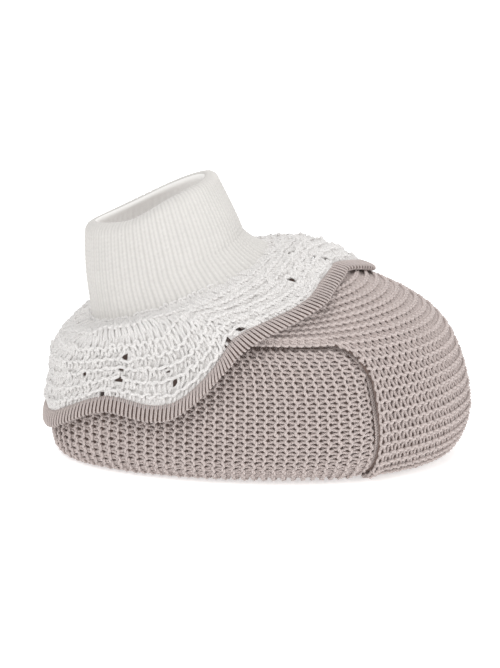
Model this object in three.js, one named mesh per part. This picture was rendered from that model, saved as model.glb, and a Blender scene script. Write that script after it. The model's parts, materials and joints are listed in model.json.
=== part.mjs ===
// Baby bootie, knitted: a garter-stitch shoe of sole, two quarters and a wrap-over toe cap, a turned-down
// lace ruffle with a contrast edge, and a doubled rib cuff that leans at the ankle.
// Millimetres, +X to the toe, +Y to the wearer's left, +Z up, standing on the sole at Z = 0.
import * as THREE from "three";

// ---- driving dimensions -------------------------------------------------------------------------------
const SHOE_LENGTH = 105; // toe to heel at the widest height
const TOE_HALF_WIDTH = 30;
const HEEL_HALF_WIDTH = 25;
const UPPER_KNIT = 2.2; // thickness of the garter-stitch panels
const SOLE_KNIT = 2.4;
const RUFFLE_KNIT = 1.2;
const RIB_KNIT = 1.3; // one layer of the cuff
const CUFF_LAYER_GAP = 0.5; // air between the cuff's two layers
const SEAM_THREAD = 1.1; // diameter of a linked seam
const CLEARANCE = 0.3; // between pieces that are sewn edge to edge
const SEAM_SLOT = SEAM_THREAD + 2 * CLEARANCE;

const ANKLE_CENTRE = new THREE.Vector3(-20.5, 0, 42.5); // also the point that the cuff leans about
const ANKLE_TILT = THREE.MathUtils.degToRad(22.5); // the ankle line rises to the front
const CUFF_RADIUS_LONG = 22; // half the cuff at the ankle line, heel to toe
const CUFF_RADIUS_WIDE = 16.5; // and side to side
const CUFF_SWING_GAP = 0.9; // free room all round the cuff where it turns in the ankle line
const CUFF_BELOW = 7.5; // how far the cuff reaches down inside the shoe
const CUFF_ABOVE = 24.5; // and up to the fold
const CUFF_BALL_TOP = 7.9; // up to here the cuff is round about its lean axis
const CUFF_TOP_SHARE = 0.77; // the fold's size as a share of the ankle line's, heel to toe
const CUFF_TOP_NARROWER = 1.2; // mm taken off each side of the fold's width besides
const CUFF_TOP_FORWARD = 3; // how far the fold's middle lies ahead of the cuff's axis

const CAP_SIDE = 38; // from the toe round to the toe cap's upright seam, along the widest line
const CAP_CORNER_HEIGHT = 27; // where that seam starts to turn back
const CAP_CORNER_RUN = 6.5; // the length of the rounded corner
const CAP_WING_HEIGHT = 35.5; // of the seam along the top of the quarter
const CAP_WING_END = 92; // where that seam reaches the ankle, along the widest line
const CAP_WING_RISE = 20; // and over which length it climbs to it

const BORDER_WIDTH = 3.8;
const BORDER_THICK = 2.2;
const RUFFLE_LIFT = 1.6; // between the shoe and the ruffle, over what both of them wave
const RUFFLE_FLARE = 1.4; // more room under the hem
const RUFFLE_WAVES = 7;
const FRONT_LIFT = 1; // over the toe the ruffle lies flatter
const FRONT_FLARE = 0.2; // share of the flare that it keeps there

// ---- the shoe's shape: rings round the foot, one above another ----------------------------------------
// Each ring has its front and back ends, its half widths fore and aft, and its height at front, side, back.
// ring() takes them as distances in from toe and heel, and shares of the widest ring's half widths.
const half = SHOE_LENGTH / 2;
const ring = (toe, heel, fore, aft, z) => ({
  front: half - toe,
  back: -half + heel,
  fore: TOE_HALF_WIDTH * fore,
  aft: HEEL_HALF_WIDTH * aft,
  z,
});
const SEAM_RING = ring(10, 6.5, 0.633, 0.6, [0.2, 0.2, 0.2]);
const TREAD_RING = ring(5, 1.6, 0.833, 0.88, [1.2, 0.9, 0.9]);
const LOW_RING = ring(1.6, 0.2, 0.96, 0.99, [5.6, 4.3, 3.6]);
const WIDEST_RING = ring(0, 0, 1, 1, [15, 14, 13]);
const SHOULDER_RING = ring(7.4, 4, 0.8, 0.9, [34.8, 32.5, 25]);
const ANKLE_LONG = CUFF_RADIUS_LONG + CUFF_SWING_GAP;
const ANKLE_WIDE = CUFF_RADIUS_WIDE + CUFF_SWING_GAP;
const VAMP_HALF_WIDTH = ANKLE_WIDE + UPPER_KNIT + 2;
const VAMP_RING = {
  front: half - 28,
  back: -half + 8.2,
  fore: VAMP_HALF_WIDTH,
  aft: VAMP_HALF_WIDTH,
  z: [46.8, 40, 30.5],
};
const SQUARENESS = 0.92; // under 1 makes the rings fuller than an ellipse

const squared = (value) => Math.sign(value) * Math.abs(value) ** SQUARENESS;

function ringPoint(ring, angle) {
  const c = Math.cos(angle);
  const forward = THREE.MathUtils.smoothstep(c, -0.8, 0.8);
  const width = THREE.MathUtils.lerp(ring.aft, ring.fore, forward);
  const [front, side, back] = ring.z;
  const end = c > 0 ? front : back;
  return new THREE.Vector3(
    (ring.front + ring.back) / 2 + ((ring.front - ring.back) / 2) * squared(c),
    width * squared(Math.sin(angle)),
    side + (end - side) * c * c,
  );
}

// The ankle line's own axes: forward along it, sideways, and out of the shoe.
const ankleForward = new THREE.Vector3(Math.cos(ANKLE_TILT), 0, Math.sin(ANKLE_TILT));
const ankleOut = new THREE.Vector3(-Math.sin(ANKLE_TILT), 0, Math.cos(ANKLE_TILT));

function anklePoint(forward, sideways, out) {
  return ANKLE_CENTRE.clone()
    .addScaledVector(ankleForward, forward)
    .add(new THREE.Vector3(0, sideways, 0))
    .addScaledVector(ankleOut, out);
}

const ankleLine = (angle, grow = 0, out = 0) =>
  anklePoint((ANKLE_LONG + grow) * Math.cos(angle), (ANKLE_WIDE + grow) * Math.sin(angle), out);

// Angle round the rings for a distance along the widest line from the toe, on the +Y side.
const GIRTH_STEPS = 400;
const girth = [0];
for (let i = 1; i <= GIRTH_STEPS; i++) {
  const before = ringPoint(WIDEST_RING, (Math.PI * (i - 1)) / GIRTH_STEPS);
  const here = ringPoint(WIDEST_RING, (Math.PI * i) / GIRTH_STEPS);
  girth.push(girth[i - 1] + before.distanceTo(here));
}
const HALF_GIRTH = girth[GIRTH_STEPS];

function angleAt(along) {
  const wanted = THREE.MathUtils.clamp(Math.abs(along), 0, HALF_GIRTH);
  let i = 1;
  while (i < GIRTH_STEPS && girth[i] < wanted) i++;
  const share = (wanted - girth[i - 1]) / (girth[i] - girth[i - 1]);
  return (Math.sign(along) || 1) * ((Math.PI * (i - 1 + share)) / GIRTH_STEPS);
}

// The upper's profile up the side at a distance along the widest line: from sole seam to ankle line.
const profiles = new Map();
function profile(along) {
  const key = along.toFixed(4);
  if (!profiles.has(key)) {
    const angle = angleAt(along);
    const rings = [SEAM_RING, TREAD_RING, LOW_RING, WIDEST_RING, SHOULDER_RING, VAMP_RING];
    const points = rings.map((ring) => ringPoint(ring, angle));
    profiles.set(key, new THREE.CatmullRomCurve3([...points, ankleLine(angle)], false, "centripetal"));
  }
  return profiles.get(key);
}

// A point of the upper: `up` is the distance from the sole seam up the profile, `depth` goes inwards.
function upperPoint(along, up, depth = 0) {
  const at = (a, u) => {
    const curve = profile(a);
    return curve.getPointAt(THREE.MathUtils.clamp(u / curve.getLength(), 0, 1));
  };
  const step = 0.4;
  const top = profile(along).getLength();
  const low = Math.max(0, up - step);
  const high = Math.min(top, up + step);
  const upwards = at(along, high).sub(at(along, low));
  const round = at(along + step, up).sub(at(along - step, up));
  const inward = upwards.cross(round).normalize();
  return at(along, up).addScaledVector(inward, depth);
}

// The distance up the profile at which it reaches a height.
function upTo(along, height) {
  const curve = profile(along);
  let low = 0;
  let high = 1;
  for (let i = 0; i < 24; i++) {
    const middle = (low + high) / 2;
    if (curve.getPointAt(middle).z < height) low = middle;
    else high = middle;
  }
  return ((low + high) / 2) * curve.getLength();
}

// ---- closed bodies from grids of points ---------------------------------------------------------------
function facingOut(positions, faces) {
  const [a, b, c] = [new THREE.Vector3(), new THREE.Vector3(), new THREE.Vector3()];
  let volume = 0;
  for (const [i, j, k] of faces) volume += a.copy(positions[i]).dot(b.copy(positions[j]).cross(c.copy(positions[k])));
  const turned = volume < 0 ? faces.map(([i, j, k]) => [i, k, j]) : faces;
  const geometry = new THREE.BufferGeometry();
  geometry.setAttribute("position", new THREE.Float32BufferAttribute(positions.flatMap((p) => [p.x, p.y, p.z]), 3));
  geometry.setIndex(turned.flat());
  geometry.computeVertexNormals();
  return geometry;
}

// A shell: columns x rows of points, outside and inside, joined round its edges. place(column, row, 0 outside
// or 1 inside). A shell that goes all the way round has no side edges; present(column, row) can leave cells out.
function shellGeometry(columns, rows, place, { goesRound = false, present = () => true } = {}) {
  const positions = [];
  const numbers = new Map();
  const at = (i, j, side) => {
    const column = goesRound ? i % columns : i;
    const key = `${column},${j},${side}`;
    if (!numbers.has(key)) numbers.set(key, positions.push(place(column, j, side)) - 1);
    return numbers.get(key);
  };
  const inside = (i, j) => j >= 0 && j < rows && (goesRound || (i >= 0 && i < columns)) && present(i, j);
  const faces = [];
  const quad = (a, b, c, d) => faces.push([a, b, c], [a, c, d]);
  const rim = (i, j, k, l) => quad(at(i, j, 0), at(i, j, 1), at(k, l, 1), at(k, l, 0));
  for (let i = 0; i < columns; i++)
    for (let j = 0; j < rows; j++) {
      if (!inside(i, j)) continue;
      quad(at(i, j, 0), at(i + 1, j, 0), at(i + 1, j + 1, 0), at(i, j + 1, 0));
      quad(at(i, j, 1), at(i, j + 1, 1), at(i + 1, j + 1, 1), at(i + 1, j, 1));
      if (!inside(i, j - 1)) rim(i, j, i + 1, j);
      if (!inside(i, j + 1)) rim(i + 1, j + 1, i, j + 1);
      if (!inside(i - 1, j)) rim(i, j + 1, i, j);
      if (!inside(i + 1, j)) rim(i + 1, j, i + 1, j + 1);
    }
  return facingOut(positions, faces);
}

// A ring: a closed section carried round a closed path. place(share round, number of the section's point).
function ringGeometry(steps, sectionPoints, place) {
  const positions = [];
  for (let i = 0; i < steps; i++) for (let j = 0; j < sectionPoints; j++) positions.push(place(i / steps, j));
  const at = (i, j) => (i % steps) * sectionPoints + (j % sectionPoints);
  const faces = [];
  for (let i = 0; i < steps; i++)
    for (let j = 0; j < sectionPoints; j++)
      faces.push([at(i, j), at(i + 1, j), at(i + 1, j + 1)], [at(i, j), at(i + 1, j + 1), at(i, j + 1)]);
  return facingOut(positions, faces);
}

const THREAD_SIDES = 6;

// A linked seam that closes on itself: a thread round a closed path in space.
function threadRing(steps, pathPoint) {
  return ringGeometry(steps, THREAD_SIDES, (share, j) => {
    const here = pathPoint(share);
    const along = pathPoint(share + 0.5 / steps).sub(pathPoint(share - 0.5 / steps)).normalize();
    const side = new THREE.Vector3().crossVectors(along, ankleOut).normalize();
    const up = new THREE.Vector3().crossVectors(side, along);
    const turn = (2 * Math.PI * j) / THREAD_SIDES;
    return here
      .addScaledVector(side, (SEAM_THREAD / 2) * Math.cos(turn))
      .addScaledVector(up, (SEAM_THREAD / 2) * Math.sin(turn));
  });
}

// A linked seam with two ends: a thread along a route over the upper, half way through its thickness.
function threadAlong(route, steps) {
  const section = new THREE.Shape();
  section.absarc(0, 0, SEAM_THREAD / 2, 0, 2 * Math.PI);
  const points = route.map(([along, up]) => upperPoint(along, up, UPPER_KNIT / 2));
  const extrudePath = new THREE.CatmullRomCurve3(points, false, "centripetal");
  return new THREE.ExtrudeGeometry(section, { steps, extrudePath, curveSegments: THREAD_SIDES / 2 });
}

// ---- the seams between the panels ---------------------------------------------------------------------
const PANEL_FOOT = SEAM_SLOT / 2 + 0.35; // the panels' lower edge, up the profile from the sole seam line
const PANEL_TOP_GAP = UPPER_KNIT + 0.1; // from the panels' upper edge to the ankle line
const panelTop = (along) => profile(along).getLength() - PANEL_TOP_GAP;

// How far up the profile the cap's seam lies behind its upright part: a rounded corner, a level run, a climb.
function seamUp(along) {
  const turned = THREE.MathUtils.clamp((along - CAP_SIDE) / CAP_CORNER_RUN, 0, 1);
  const round = Math.sqrt(1 - (1 - turned) ** 2);
  const level = upTo(along, THREE.MathUtils.lerp(CAP_CORNER_HEIGHT, CAP_WING_HEIGHT, round));
  const climb = THREE.MathUtils.smoothstep(along, CAP_WING_END - CAP_WING_RISE, CAP_WING_END);
  return THREE.MathUtils.lerp(Math.min(level, panelTop(along)), panelTop(along), climb);
}

// The seam as [along, up] points on the +Y side, from the sole to the ankle; the corner is finely divided.
const UPRIGHT_POINTS = 8;
const seamLine = [];
for (let i = 0; i < UPRIGHT_POINTS; i++)
  seamLine.push(new THREE.Vector2(CAP_SIDE, THREE.MathUtils.lerp(PANEL_FOOT, seamUp(CAP_SIDE), i / UPRIGHT_POINTS)));
for (let i = 0; i < 16; i++) {
  const along = CAP_SIDE + CAP_CORNER_RUN * (1 - Math.cos((Math.PI / 2) * (i / 16)));
  seamLine.push(new THREE.Vector2(along, seamUp(along)));
}
for (let i = 0; i <= 40; i++) {
  const along = THREE.MathUtils.lerp(CAP_SIDE + CAP_CORNER_RUN, CAP_WING_END, i / 40);
  seamLine.push(new THREE.Vector2(along, seamUp(along)));
}

// The seam moved square to itself by a distance: to the quarter's side of it, or to the cap's when negative.
// The gap between the panels widens where the seam climbs, out of sight.
function beside(distance) {
  return seamLine.map((point, i) => {
    const before = seamLine[Math.max(0, i - 1)];
    const after = seamLine[Math.min(seamLine.length - 1, i + 1)];
    const run = after.clone().sub(before).normalize();
    const room = distance * (1 + THREE.MathUtils.smoothstep(point.x, CAP_WING_END - CAP_WING_RISE, CAP_WING_END));
    return new THREE.Vector2(point.x + run.y * room, point.y - run.x * room);
  });
}

// The height of a moved seam at a distance along, where it has turned back from its upright part.
function heightOf(line, along) {
  let i = UPRIGHT_POINTS;
  while (i < line.length - 1 && line[i].x < along) i++;
  const share = THREE.MathUtils.clamp((along - line[i - 1].x) / Math.max(1e-6, line[i].x - line[i - 1].x), 0, 1);
  return THREE.MathUtils.lerp(line[i - 1].y, line[i].y, share);
}

const EDGE = 0.64 * SEAM_SLOT + 0.1; // a distance along shrinks higher up the shoe, so more than half
const quarterEdge = beside(EDGE);
const capEdge = beside(-EDGE);

// Distances along at which both panels have a column: close together round the corner.
function cornerStations(line) {
  const start = line[UPRIGHT_POINTS - 1].x;
  return [0, 1, 2, 3, 4, 5].map((i) => start + (CAP_CORNER_RUN + CAP_SIDE - start) * (1 - Math.cos((Math.PI / 10) * i)));
}

function quarterGeometry(side) {
  const stations = cornerStations(quarterEdge);
  const BEHIND = 22;
  const front = stations.at(-1);
  const back = HALF_GIRTH - SEAM_SLOT / 2;
  for (let i = 1; i <= BEHIND; i++) stations.push(THREE.MathUtils.lerp(front, back, i / BEHIND));
  const ROWS = 9;
  return shellGeometry(stations.length - 1, ROWS, (column, row, inside) => {
    const along = stations[column];
    const top = along < CAP_WING_END ? heightOf(quarterEdge, along) : panelTop(along);
    return upperPoint(side * along, THREE.MathUtils.lerp(PANEL_FOOT, top, row / ROWS), inside * UPPER_KNIT);
  });
}

const WING_TIP = 4.2; // the wing ends where it has narrowed to this

function toeCapGeometry() {
  const wing = cornerStations(capEdge);
  const corner = heightOf(capEdge, wing[0]);
  let end = wing.at(-1);
  while (end < CAP_WING_END && panelTop(end) - heightOf(capEdge, end) > WING_TIP) end += 0.25;
  const from = wing.at(-1);
  const WING_STATIONS = 8;
  for (let i = 1; i <= WING_STATIONS; i++) wing.push(THREE.MathUtils.lerp(from, end, i / WING_STATIONS));
  const FRONT_STATIONS = 20;
  const stations = wing.map((along) => -along).reverse();
  for (let i = 1; i < FRONT_STATIONS; i++) stations.push(THREE.MathUtils.lerp(-wing[0], wing[0], i / FRONT_STATIONS));
  stations.push(...wing);
  const LOW_ROWS = 6;
  const HIGH_ROWS = 6;
  const isFront = (column) => column >= wing.length - 1 && column < stations.length - wing.length;
  return shellGeometry(
    stations.length - 1,
    LOW_ROWS + HIGH_ROWS,
    (column, row, inside) => {
      const along = stations[column];
      const middle = Math.abs(along) > wing[0] ? heightOf(capEdge, Math.abs(along)) : corner;
      const up =
        row <= LOW_ROWS
          ? THREE.MathUtils.lerp(PANEL_FOOT, middle, row / LOW_ROWS)
          : THREE.MathUtils.lerp(middle, panelTop(along), (row - LOW_ROWS) / HIGH_ROWS);
      return upperPoint(along, up, inside * UPPER_KNIT);
    },
    { present: (column, row) => row >= LOW_ROWS || isFront(column) },
  );
}

// The seam between toe cap and quarter, from the sole up and back until it's under the ruffle.
function capSeamGeometry(side) {
  const end = seamLine.findIndex((point) => point.x > CAP_WING_END - CAP_WING_RISE);
  const route = seamLine.slice(0, end).filter((_, i) => i % 2 === 0);
  return threadAlong(
    route.map(({ x, y }) => [side * x, y]),
    36,
  );
}

function heelSeamGeometry() {
  const top = panelTop(HALF_GIRTH);
  const route = [0, 0.25, 0.5, 0.75, 1].map((share) => [HALF_GIRTH, THREE.MathUtils.lerp(PANEL_FOOT, top, share)]);
  return threadAlong(route, 14);
}

// ---- the sole -----------------------------------------------------------------------------------------
const SOLE_POINTS = 44;

function soleGeometry() {
  const outline = new THREE.Shape();
  const edge = { ...SEAM_RING };
  for (const end of ["front", "fore", "aft"]) edge[end] -= SEAM_SLOT / 2;
  edge.back += SEAM_SLOT / 2;
  for (let i = 0; i < SOLE_POINTS; i++) {
    const { x, y } = ringPoint(edge, (2 * Math.PI * i) / SOLE_POINTS);
    if (i === 0) outline.moveTo(x, y);
    else outline.lineTo(x, y);
  }
  return new THREE.ExtrudeGeometry(outline, { depth: SOLE_KNIT, bevelEnabled: false });
}

function soleSeamGeometry() {
  return threadRing(56, (share) => {
    const point = ringPoint(SEAM_RING, 2 * Math.PI * share);
    point.z = SOLE_KNIT / 2;
    return point;
  });
}

// ---- the ruffle, its contrast edge and the ankle seam -------------------------------------------------
// How far the ruffle reaches down from the ankle line, by the angle round the foot in degrees: it hangs in
// lobes. At the toe, a little to the left, one lobe hangs lower.
const DROP = [
  [0, 21],
  [30, 21],
  [50, 22.5],
  [90, 20],
  [112, 28.5],
  [135, 22.5],
  [165, 28],
  [180, 28.5],
];
const TOE_LOBE = { angle: 14, width: 26, drop: 8 };

function drop(angle) {
  const degrees = THREE.MathUtils.radToDeg(Math.acos(Math.cos(angle)));
  let i = 1;
  while (i < DROP.length - 1 && DROP[i][0] < degrees) i++;
  const [from, low] = DROP[i - 1];
  const [to, high] = DROP[i];
  const signed = Math.sin(angle) < 0 ? -degrees : degrees;
  const off = Math.abs(signed - TOE_LOBE.angle) / TOE_LOBE.width;
  const lobe = TOE_LOBE.drop * (1 - THREE.MathUtils.smoothstep(off, 0, 1));
  return THREE.MathUtils.lerp(low, high, THREE.MathUtils.smoothstep(degrees, from, to)) + lobe;
}

// The distance along the widest line for an angle round the foot.
function alongAt(angle) {
  const turned = Math.acos(Math.cos(angle)) / Math.PI;
  const i = Math.min(GIRTH_STEPS - 1, Math.floor(turned * GIRTH_STEPS));
  const along = THREE.MathUtils.lerp(girth[i], girth[i + 1], turned * GIRTH_STEPS - i);
  return Math.sin(angle) < 0 ? -along : along;
}

// A point under the ruffle: share 0 is its root at the ankle line and 1 its hem. It lies over the shoe.
const ROOT_OUT = 1.1; // the root's underside above the ankle line
const ROOT_RUN = 0.16; // share of the drop over which the root comes down on the shoe

function rufflePoint(angle, share, lift) {
  const along = alongAt(angle);
  const length = profile(along).getLength();
  const front = THREE.MathUtils.smoothstep(Math.cos(angle), 0.55, 0.95);
  const flare = RUFFLE_FLARE * (1 + 0.5 * Math.cos(RUFFLE_WAVES * angle));
  const under = THREE.MathUtils.lerp(RUFFLE_LIFT, FRONT_LIFT, front);
  const stand = under + flare * THREE.MathUtils.lerp(1, FRONT_FLARE, front) * share * share + lift;
  const over = upperPoint(along, length - drop(angle) * share, -stand);
  if (share >= ROOT_RUN) return over;
  const root = ankleLine(angle, 0, ROOT_OUT + lift);
  return root.lerp(over, THREE.MathUtils.smoothstep(share, 0, ROOT_RUN));
}

const RUFFLE_STEPS = 56;
const borderShare = (angle) => (BORDER_WIDTH + CLEARANCE) / drop(angle);

function ruffleGeometry() {
  const ROWS = 7;
  const place = (column, row, inside) => {
    const angle = (2 * Math.PI * column) / RUFFLE_STEPS;
    return rufflePoint(angle, (row / ROWS) * (1 - borderShare(angle)), inside ? 0 : RUFFLE_KNIT);
  };
  return shellGeometry(RUFFLE_STEPS, ROWS, place, { goesRound: true });
}

// The edge's section, as [share of its width, share of its thickness].
const BORDER_SECTION = [
  [0, 0.15],
  [0, 0.85],
  [0.3, 1],
  [0.75, 1],
  [1, 0.7],
  [1, 0.3],
  [0.75, 0],
  [0.3, 0],
];

function borderGeometry() {
  return ringGeometry(RUFFLE_STEPS, BORDER_SECTION.length, (round, j) => {
    const angle = 2 * Math.PI * round;
    const [across, thick] = BORDER_SECTION[j];
    const start = 1 - BORDER_WIDTH / drop(angle);
    const lift = (RUFFLE_KNIT - BORDER_THICK) / 2 + thick * BORDER_THICK;
    return rufflePoint(angle, THREE.MathUtils.lerp(start, 1, across), lift);
  });
}

const ankleSeamGeometry = () =>
  threadRing(44, (share) => ankleLine(2 * Math.PI * share, SEAM_THREAD / 2 - 0.15, -0.15));

// ---- the cuff -----------------------------------------------------------------------------------------
// The cuff's size at a height above the ankle line, as a share of its size there. It is round about the
// lean axis up to CUFF_BALL_TOP, so that it turns in the ankle line, and tapers to the fold above it.
function cuffShare(out) {
  const ball = (height) => Math.sqrt(1 - (height / CUFF_RADIUS_LONG) ** 2);
  if (out <= CUFF_BALL_TOP) return ball(out);
  const up = (out - CUFF_BALL_TOP) / (CUFF_ABOVE - CUFF_BALL_TOP);
  return THREE.MathUtils.lerp(ball(CUFF_BALL_TOP), CUFF_TOP_SHARE, up ** 1.3);
}

function cuffPoint(angle, out, depth) {
  const share = cuffShare(out);
  const up = THREE.MathUtils.clamp((out - CUFF_BALL_TOP) / (CUFF_ABOVE - CUFF_BALL_TOP), 0, 1);
  return anklePoint(
    CUFF_TOP_FORWARD * up + (CUFF_RADIUS_LONG * share - depth) * Math.cos(angle),
    (CUFF_RADIUS_WIDE * share - CUFF_TOP_NARROWER * up - depth) * Math.sin(angle),
    out,
  );
}

// The doubled rib in section, as [height, depth in from the outside]: up the outer layer, over the fold,
// down the inner layer, and back up and down the air gap between them.
function cuffSection() {
  const innerLayer = RIB_KNIT + CUFF_LAYER_GAP;
  const through = innerLayer + RIB_KNIT;
  const foldStart = CUFF_ABOVE - through / 2;
  const section = [-CUFF_BELOW, -3.5, 0, 4, CUFF_BALL_TOP, 13, 19, foldStart].map((out) => [out, 0]);
  for (const turn of [30, 60, 90, 120, 150]) {
    const a = THREE.MathUtils.degToRad(turn);
    section.push([foldStart + (through / 2) * Math.sin(a), (through / 2) * (1 - Math.cos(a))]);
  }
  for (const out of [foldStart, 19, CUFF_BALL_TOP, 0, -CUFF_BELOW]) section.push([out, through]);
  for (const out of [-CUFF_BELOW, 0, CUFF_BALL_TOP, 19, foldStart]) section.push([out, innerLayer]);
  for (const out of [foldStart, 19, CUFF_BALL_TOP, 0, -CUFF_BELOW]) section.push([out, RIB_KNIT]);
  return section;
}

function cuffGeometry() {
  const section = cuffSection();
  return ringGeometry(36, section.length, (round, j) => cuffPoint(2 * Math.PI * round, ...section[j]));
}

// ---- materials and the assembly -----------------------------------------------------------------------
const knit = (colour) => new THREE.MeshStandardMaterial({ color: colour, roughness: 0.95, metalness: 0 });
const TAUPE = 0xcbbfba;
const SEAM_TAUPE = 0xb3a6a0;
const OFF_WHITE = 0xe6e6e2;
const RIB_WHITE = 0xeeece8;

const bootie = new THREE.Group();

function add(name, geometry, colour) {
  const mesh = new THREE.Mesh(geometry, knit(colour));
  mesh.name = name;
  bootie.add(mesh);
}

add("sole", soleGeometry(), TAUPE);
add("sole_seam", soleSeamGeometry(), SEAM_TAUPE);
add("toe_cap", toeCapGeometry(), TAUPE);
for (const [name, side] of [["left", 1], ["right", -1]]) {
  add(`quarter_${name}`, quarterGeometry(side), TAUPE);
  add(`toe_cap_seam_${name}`, capSeamGeometry(side), SEAM_TAUPE);
}
add("heel_seam", heelSeamGeometry(), SEAM_TAUPE);
add("ankle_seam", ankleSeamGeometry(), RIB_WHITE);
add("ruffle", ruffleGeometry(), OFF_WHITE);
add("ruffle_border", borderGeometry(), TAUPE);
add("cuff", cuffGeometry(), RIB_WHITE);

// The frame's origin is under the middle of the bootie, on the floor.
bootie.updateMatrixWorld(true);
bootie.position.x = -new THREE.Box3().setFromObject(bootie, true).getCenter(new THREE.Vector3()).x;

export default bootie;
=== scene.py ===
"""Knitted baby bootie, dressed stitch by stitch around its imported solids.

The shoe's panels are garter stitch, so each has a thin ground cloth and, over it, the yarn itself: one
continuous thread for each course, bent into loops that catch in the courses before and after. The ruffle is
the same stitch with eyelets, its edge is yarn wound across it, and the cuff is a ribbed cloth.
"""

import json
import logging
import math
from dataclasses import dataclass, field
from enum import Enum

import bmesh
import bpy
import numpy as np
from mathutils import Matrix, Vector


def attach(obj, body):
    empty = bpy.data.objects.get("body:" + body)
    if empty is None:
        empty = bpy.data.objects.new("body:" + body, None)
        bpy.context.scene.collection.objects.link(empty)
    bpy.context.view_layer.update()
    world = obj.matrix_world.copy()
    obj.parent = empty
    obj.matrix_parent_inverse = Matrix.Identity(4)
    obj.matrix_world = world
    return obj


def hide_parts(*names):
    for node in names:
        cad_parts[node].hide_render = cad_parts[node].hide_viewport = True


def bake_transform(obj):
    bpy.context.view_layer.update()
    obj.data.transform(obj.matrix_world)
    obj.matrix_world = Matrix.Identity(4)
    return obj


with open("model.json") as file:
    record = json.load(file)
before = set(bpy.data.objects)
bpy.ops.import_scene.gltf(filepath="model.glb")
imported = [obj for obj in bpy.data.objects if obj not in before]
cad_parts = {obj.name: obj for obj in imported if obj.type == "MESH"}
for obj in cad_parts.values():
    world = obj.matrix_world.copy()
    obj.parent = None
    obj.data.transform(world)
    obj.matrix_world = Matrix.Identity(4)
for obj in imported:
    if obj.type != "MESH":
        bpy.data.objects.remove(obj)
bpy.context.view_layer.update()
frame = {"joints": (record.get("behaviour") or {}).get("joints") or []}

LOG = logging.getLogger("bootie")
MM = 0.001
Array = np.ndarray

# ---- the shoe's shape, in millimetres, as the solids have it --------------------------------------------

SHOE_LENGTH = 105.0
TOE_HALF_WIDTH = 30.0
HEEL_HALF_WIDTH = 25.0
UPPER_KNIT = 2.2
SOLE_KNIT = 2.4
SQUARENESS = 0.92
ANKLE_CENTRE = np.array([-20.5, 0.0, 42.5])
ANKLE_TILT = math.radians(22.5)
CUFF_LONG = 22.0
CUFF_WIDE = 16.5
ANKLE_LONG = CUFF_LONG + 0.9
ANKLE_WIDE = CUFF_WIDE + 0.9
CUFF_BALL_TOP = 7.9
CUFF_ABOVE = 24.5
CAP_SIDE = 38.0
CAP_CORNER_HEIGHT = 27.0
CAP_CORNER_RUN = 6.5
CAP_WING_HEIGHT = 35.5
CAP_WING_END = 92.0
CAP_WING_RISE = 20.0
PANEL_FOOT = 1.2
PANEL_TOP_GAP = UPPER_KNIT + 0.1
RUFFLE_KNIT = 1.2
RUFFLE_LIFT = 1.6
RUFFLE_FLARE = 1.4
RUFFLE_WAVES = 7
FRONT_LIFT = 1.0
FRONT_FLARE = 0.2
BORDER_WIDTH = 3.8
DOWN = np.array([0.0, 0.0, -1.0])
ANKLE_FORWARD = np.array([math.cos(ANKLE_TILT), 0.0, math.sin(ANKLE_TILT)])
ANKLE_OUT = np.array([-math.sin(ANKLE_TILT), 0.0, math.cos(ANKLE_TILT)])
# The solids stand centred on the frame's origin; the lean joint says how far that moved the ankle.
CENTRING = frame["joints"][0]["pos_m"][0] / MM - ANKLE_CENTRE[0]


def smoothstep(value: Array, low: float, high: float) -> Array:
    """Rises smoothly from 0 at low to 1 at high."""
    t = np.clip((value - low) / (high - low), 0, 1)
    return t * t * (3 - 2 * t)


def unit(vectors: Array) -> Array:
    """The same vectors at length 1."""
    return vectors / np.maximum(np.linalg.norm(vectors, axis=-1, keepdims=True), 1e-9)


@dataclass(frozen=True)
class Ring:
    """A level line round the shoe: its ends, its half widths and its heights at front, side and back."""

    toe: float
    heel: float
    fore: float
    aft: float
    z: tuple[float, float, float]

    def points(self, angle: Array) -> Array:
        """Points of the ring.

        Args:
            angle: angles round the foot, 0 at the toe and positive to the left.

        Returns:
            One point for each angle, in millimetres.
        """
        c, s = np.cos(angle), np.sin(angle)
        front, back = SHOE_LENGTH / 2 - self.toe, -SHOE_LENGTH / 2 + self.heel
        forward = smoothstep(c, -0.8, 0.8)
        aft, fore = HEEL_HALF_WIDTH * self.aft, TOE_HALF_WIDTH * self.fore
        width = aft + (fore - aft) * forward
        end = np.where(c > 0, self.z[0], self.z[2])
        x = (front + back) / 2 + (front - back) / 2 * np.sign(c) * np.abs(c) ** SQUARENESS
        y = width * np.sign(s) * np.abs(s) ** SQUARENESS
        return np.stack([x, y, self.z[1] + (end - self.z[1]) * c * c], -1)


VAMP_SHARE = ANKLE_WIDE + UPPER_KNIT + 2
RINGS = (
    Ring(10, 6.5, 0.633, 0.6, (0.2, 0.2, 0.2)),
    Ring(5, 1.6, 0.833, 0.88, (1.2, 0.9, 0.9)),
    Ring(1.6, 0.2, 0.96, 0.99, (5.6, 4.3, 3.6)),
    Ring(0, 0, 1, 1, (15, 14, 13)),
    Ring(7.4, 4, 0.8, 0.9, (34.8, 32.5, 25)),
    Ring(28, 8.2, VAMP_SHARE / TOE_HALF_WIDTH, VAMP_SHARE / HEEL_HALF_WIDTH, (46.8, 40, 30.5)),
)


def ankle_point(forward: Array, sideways: Array, out: Array) -> Array:
    """Points given along the ankle line's own axes, in millimetres."""
    spot = ANKLE_CENTRE + forward[..., None] * ANKLE_FORWARD + out[..., None] * ANKLE_OUT
    return spot + sideways[..., None] * np.array([0.0, 1.0, 0.0])


def ankle_line(angle: Array, grow: float = 0.0, out: float | Array = 0.0) -> Array:
    """Points of the ankle line, grown outwards and raised out of the shoe."""
    out = np.broadcast_to(np.asarray(out, float), angle.shape)
    return ankle_point((ANKLE_LONG + grow) * np.cos(angle), (ANKLE_WIDE + grow) * np.sin(angle), out)


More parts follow.
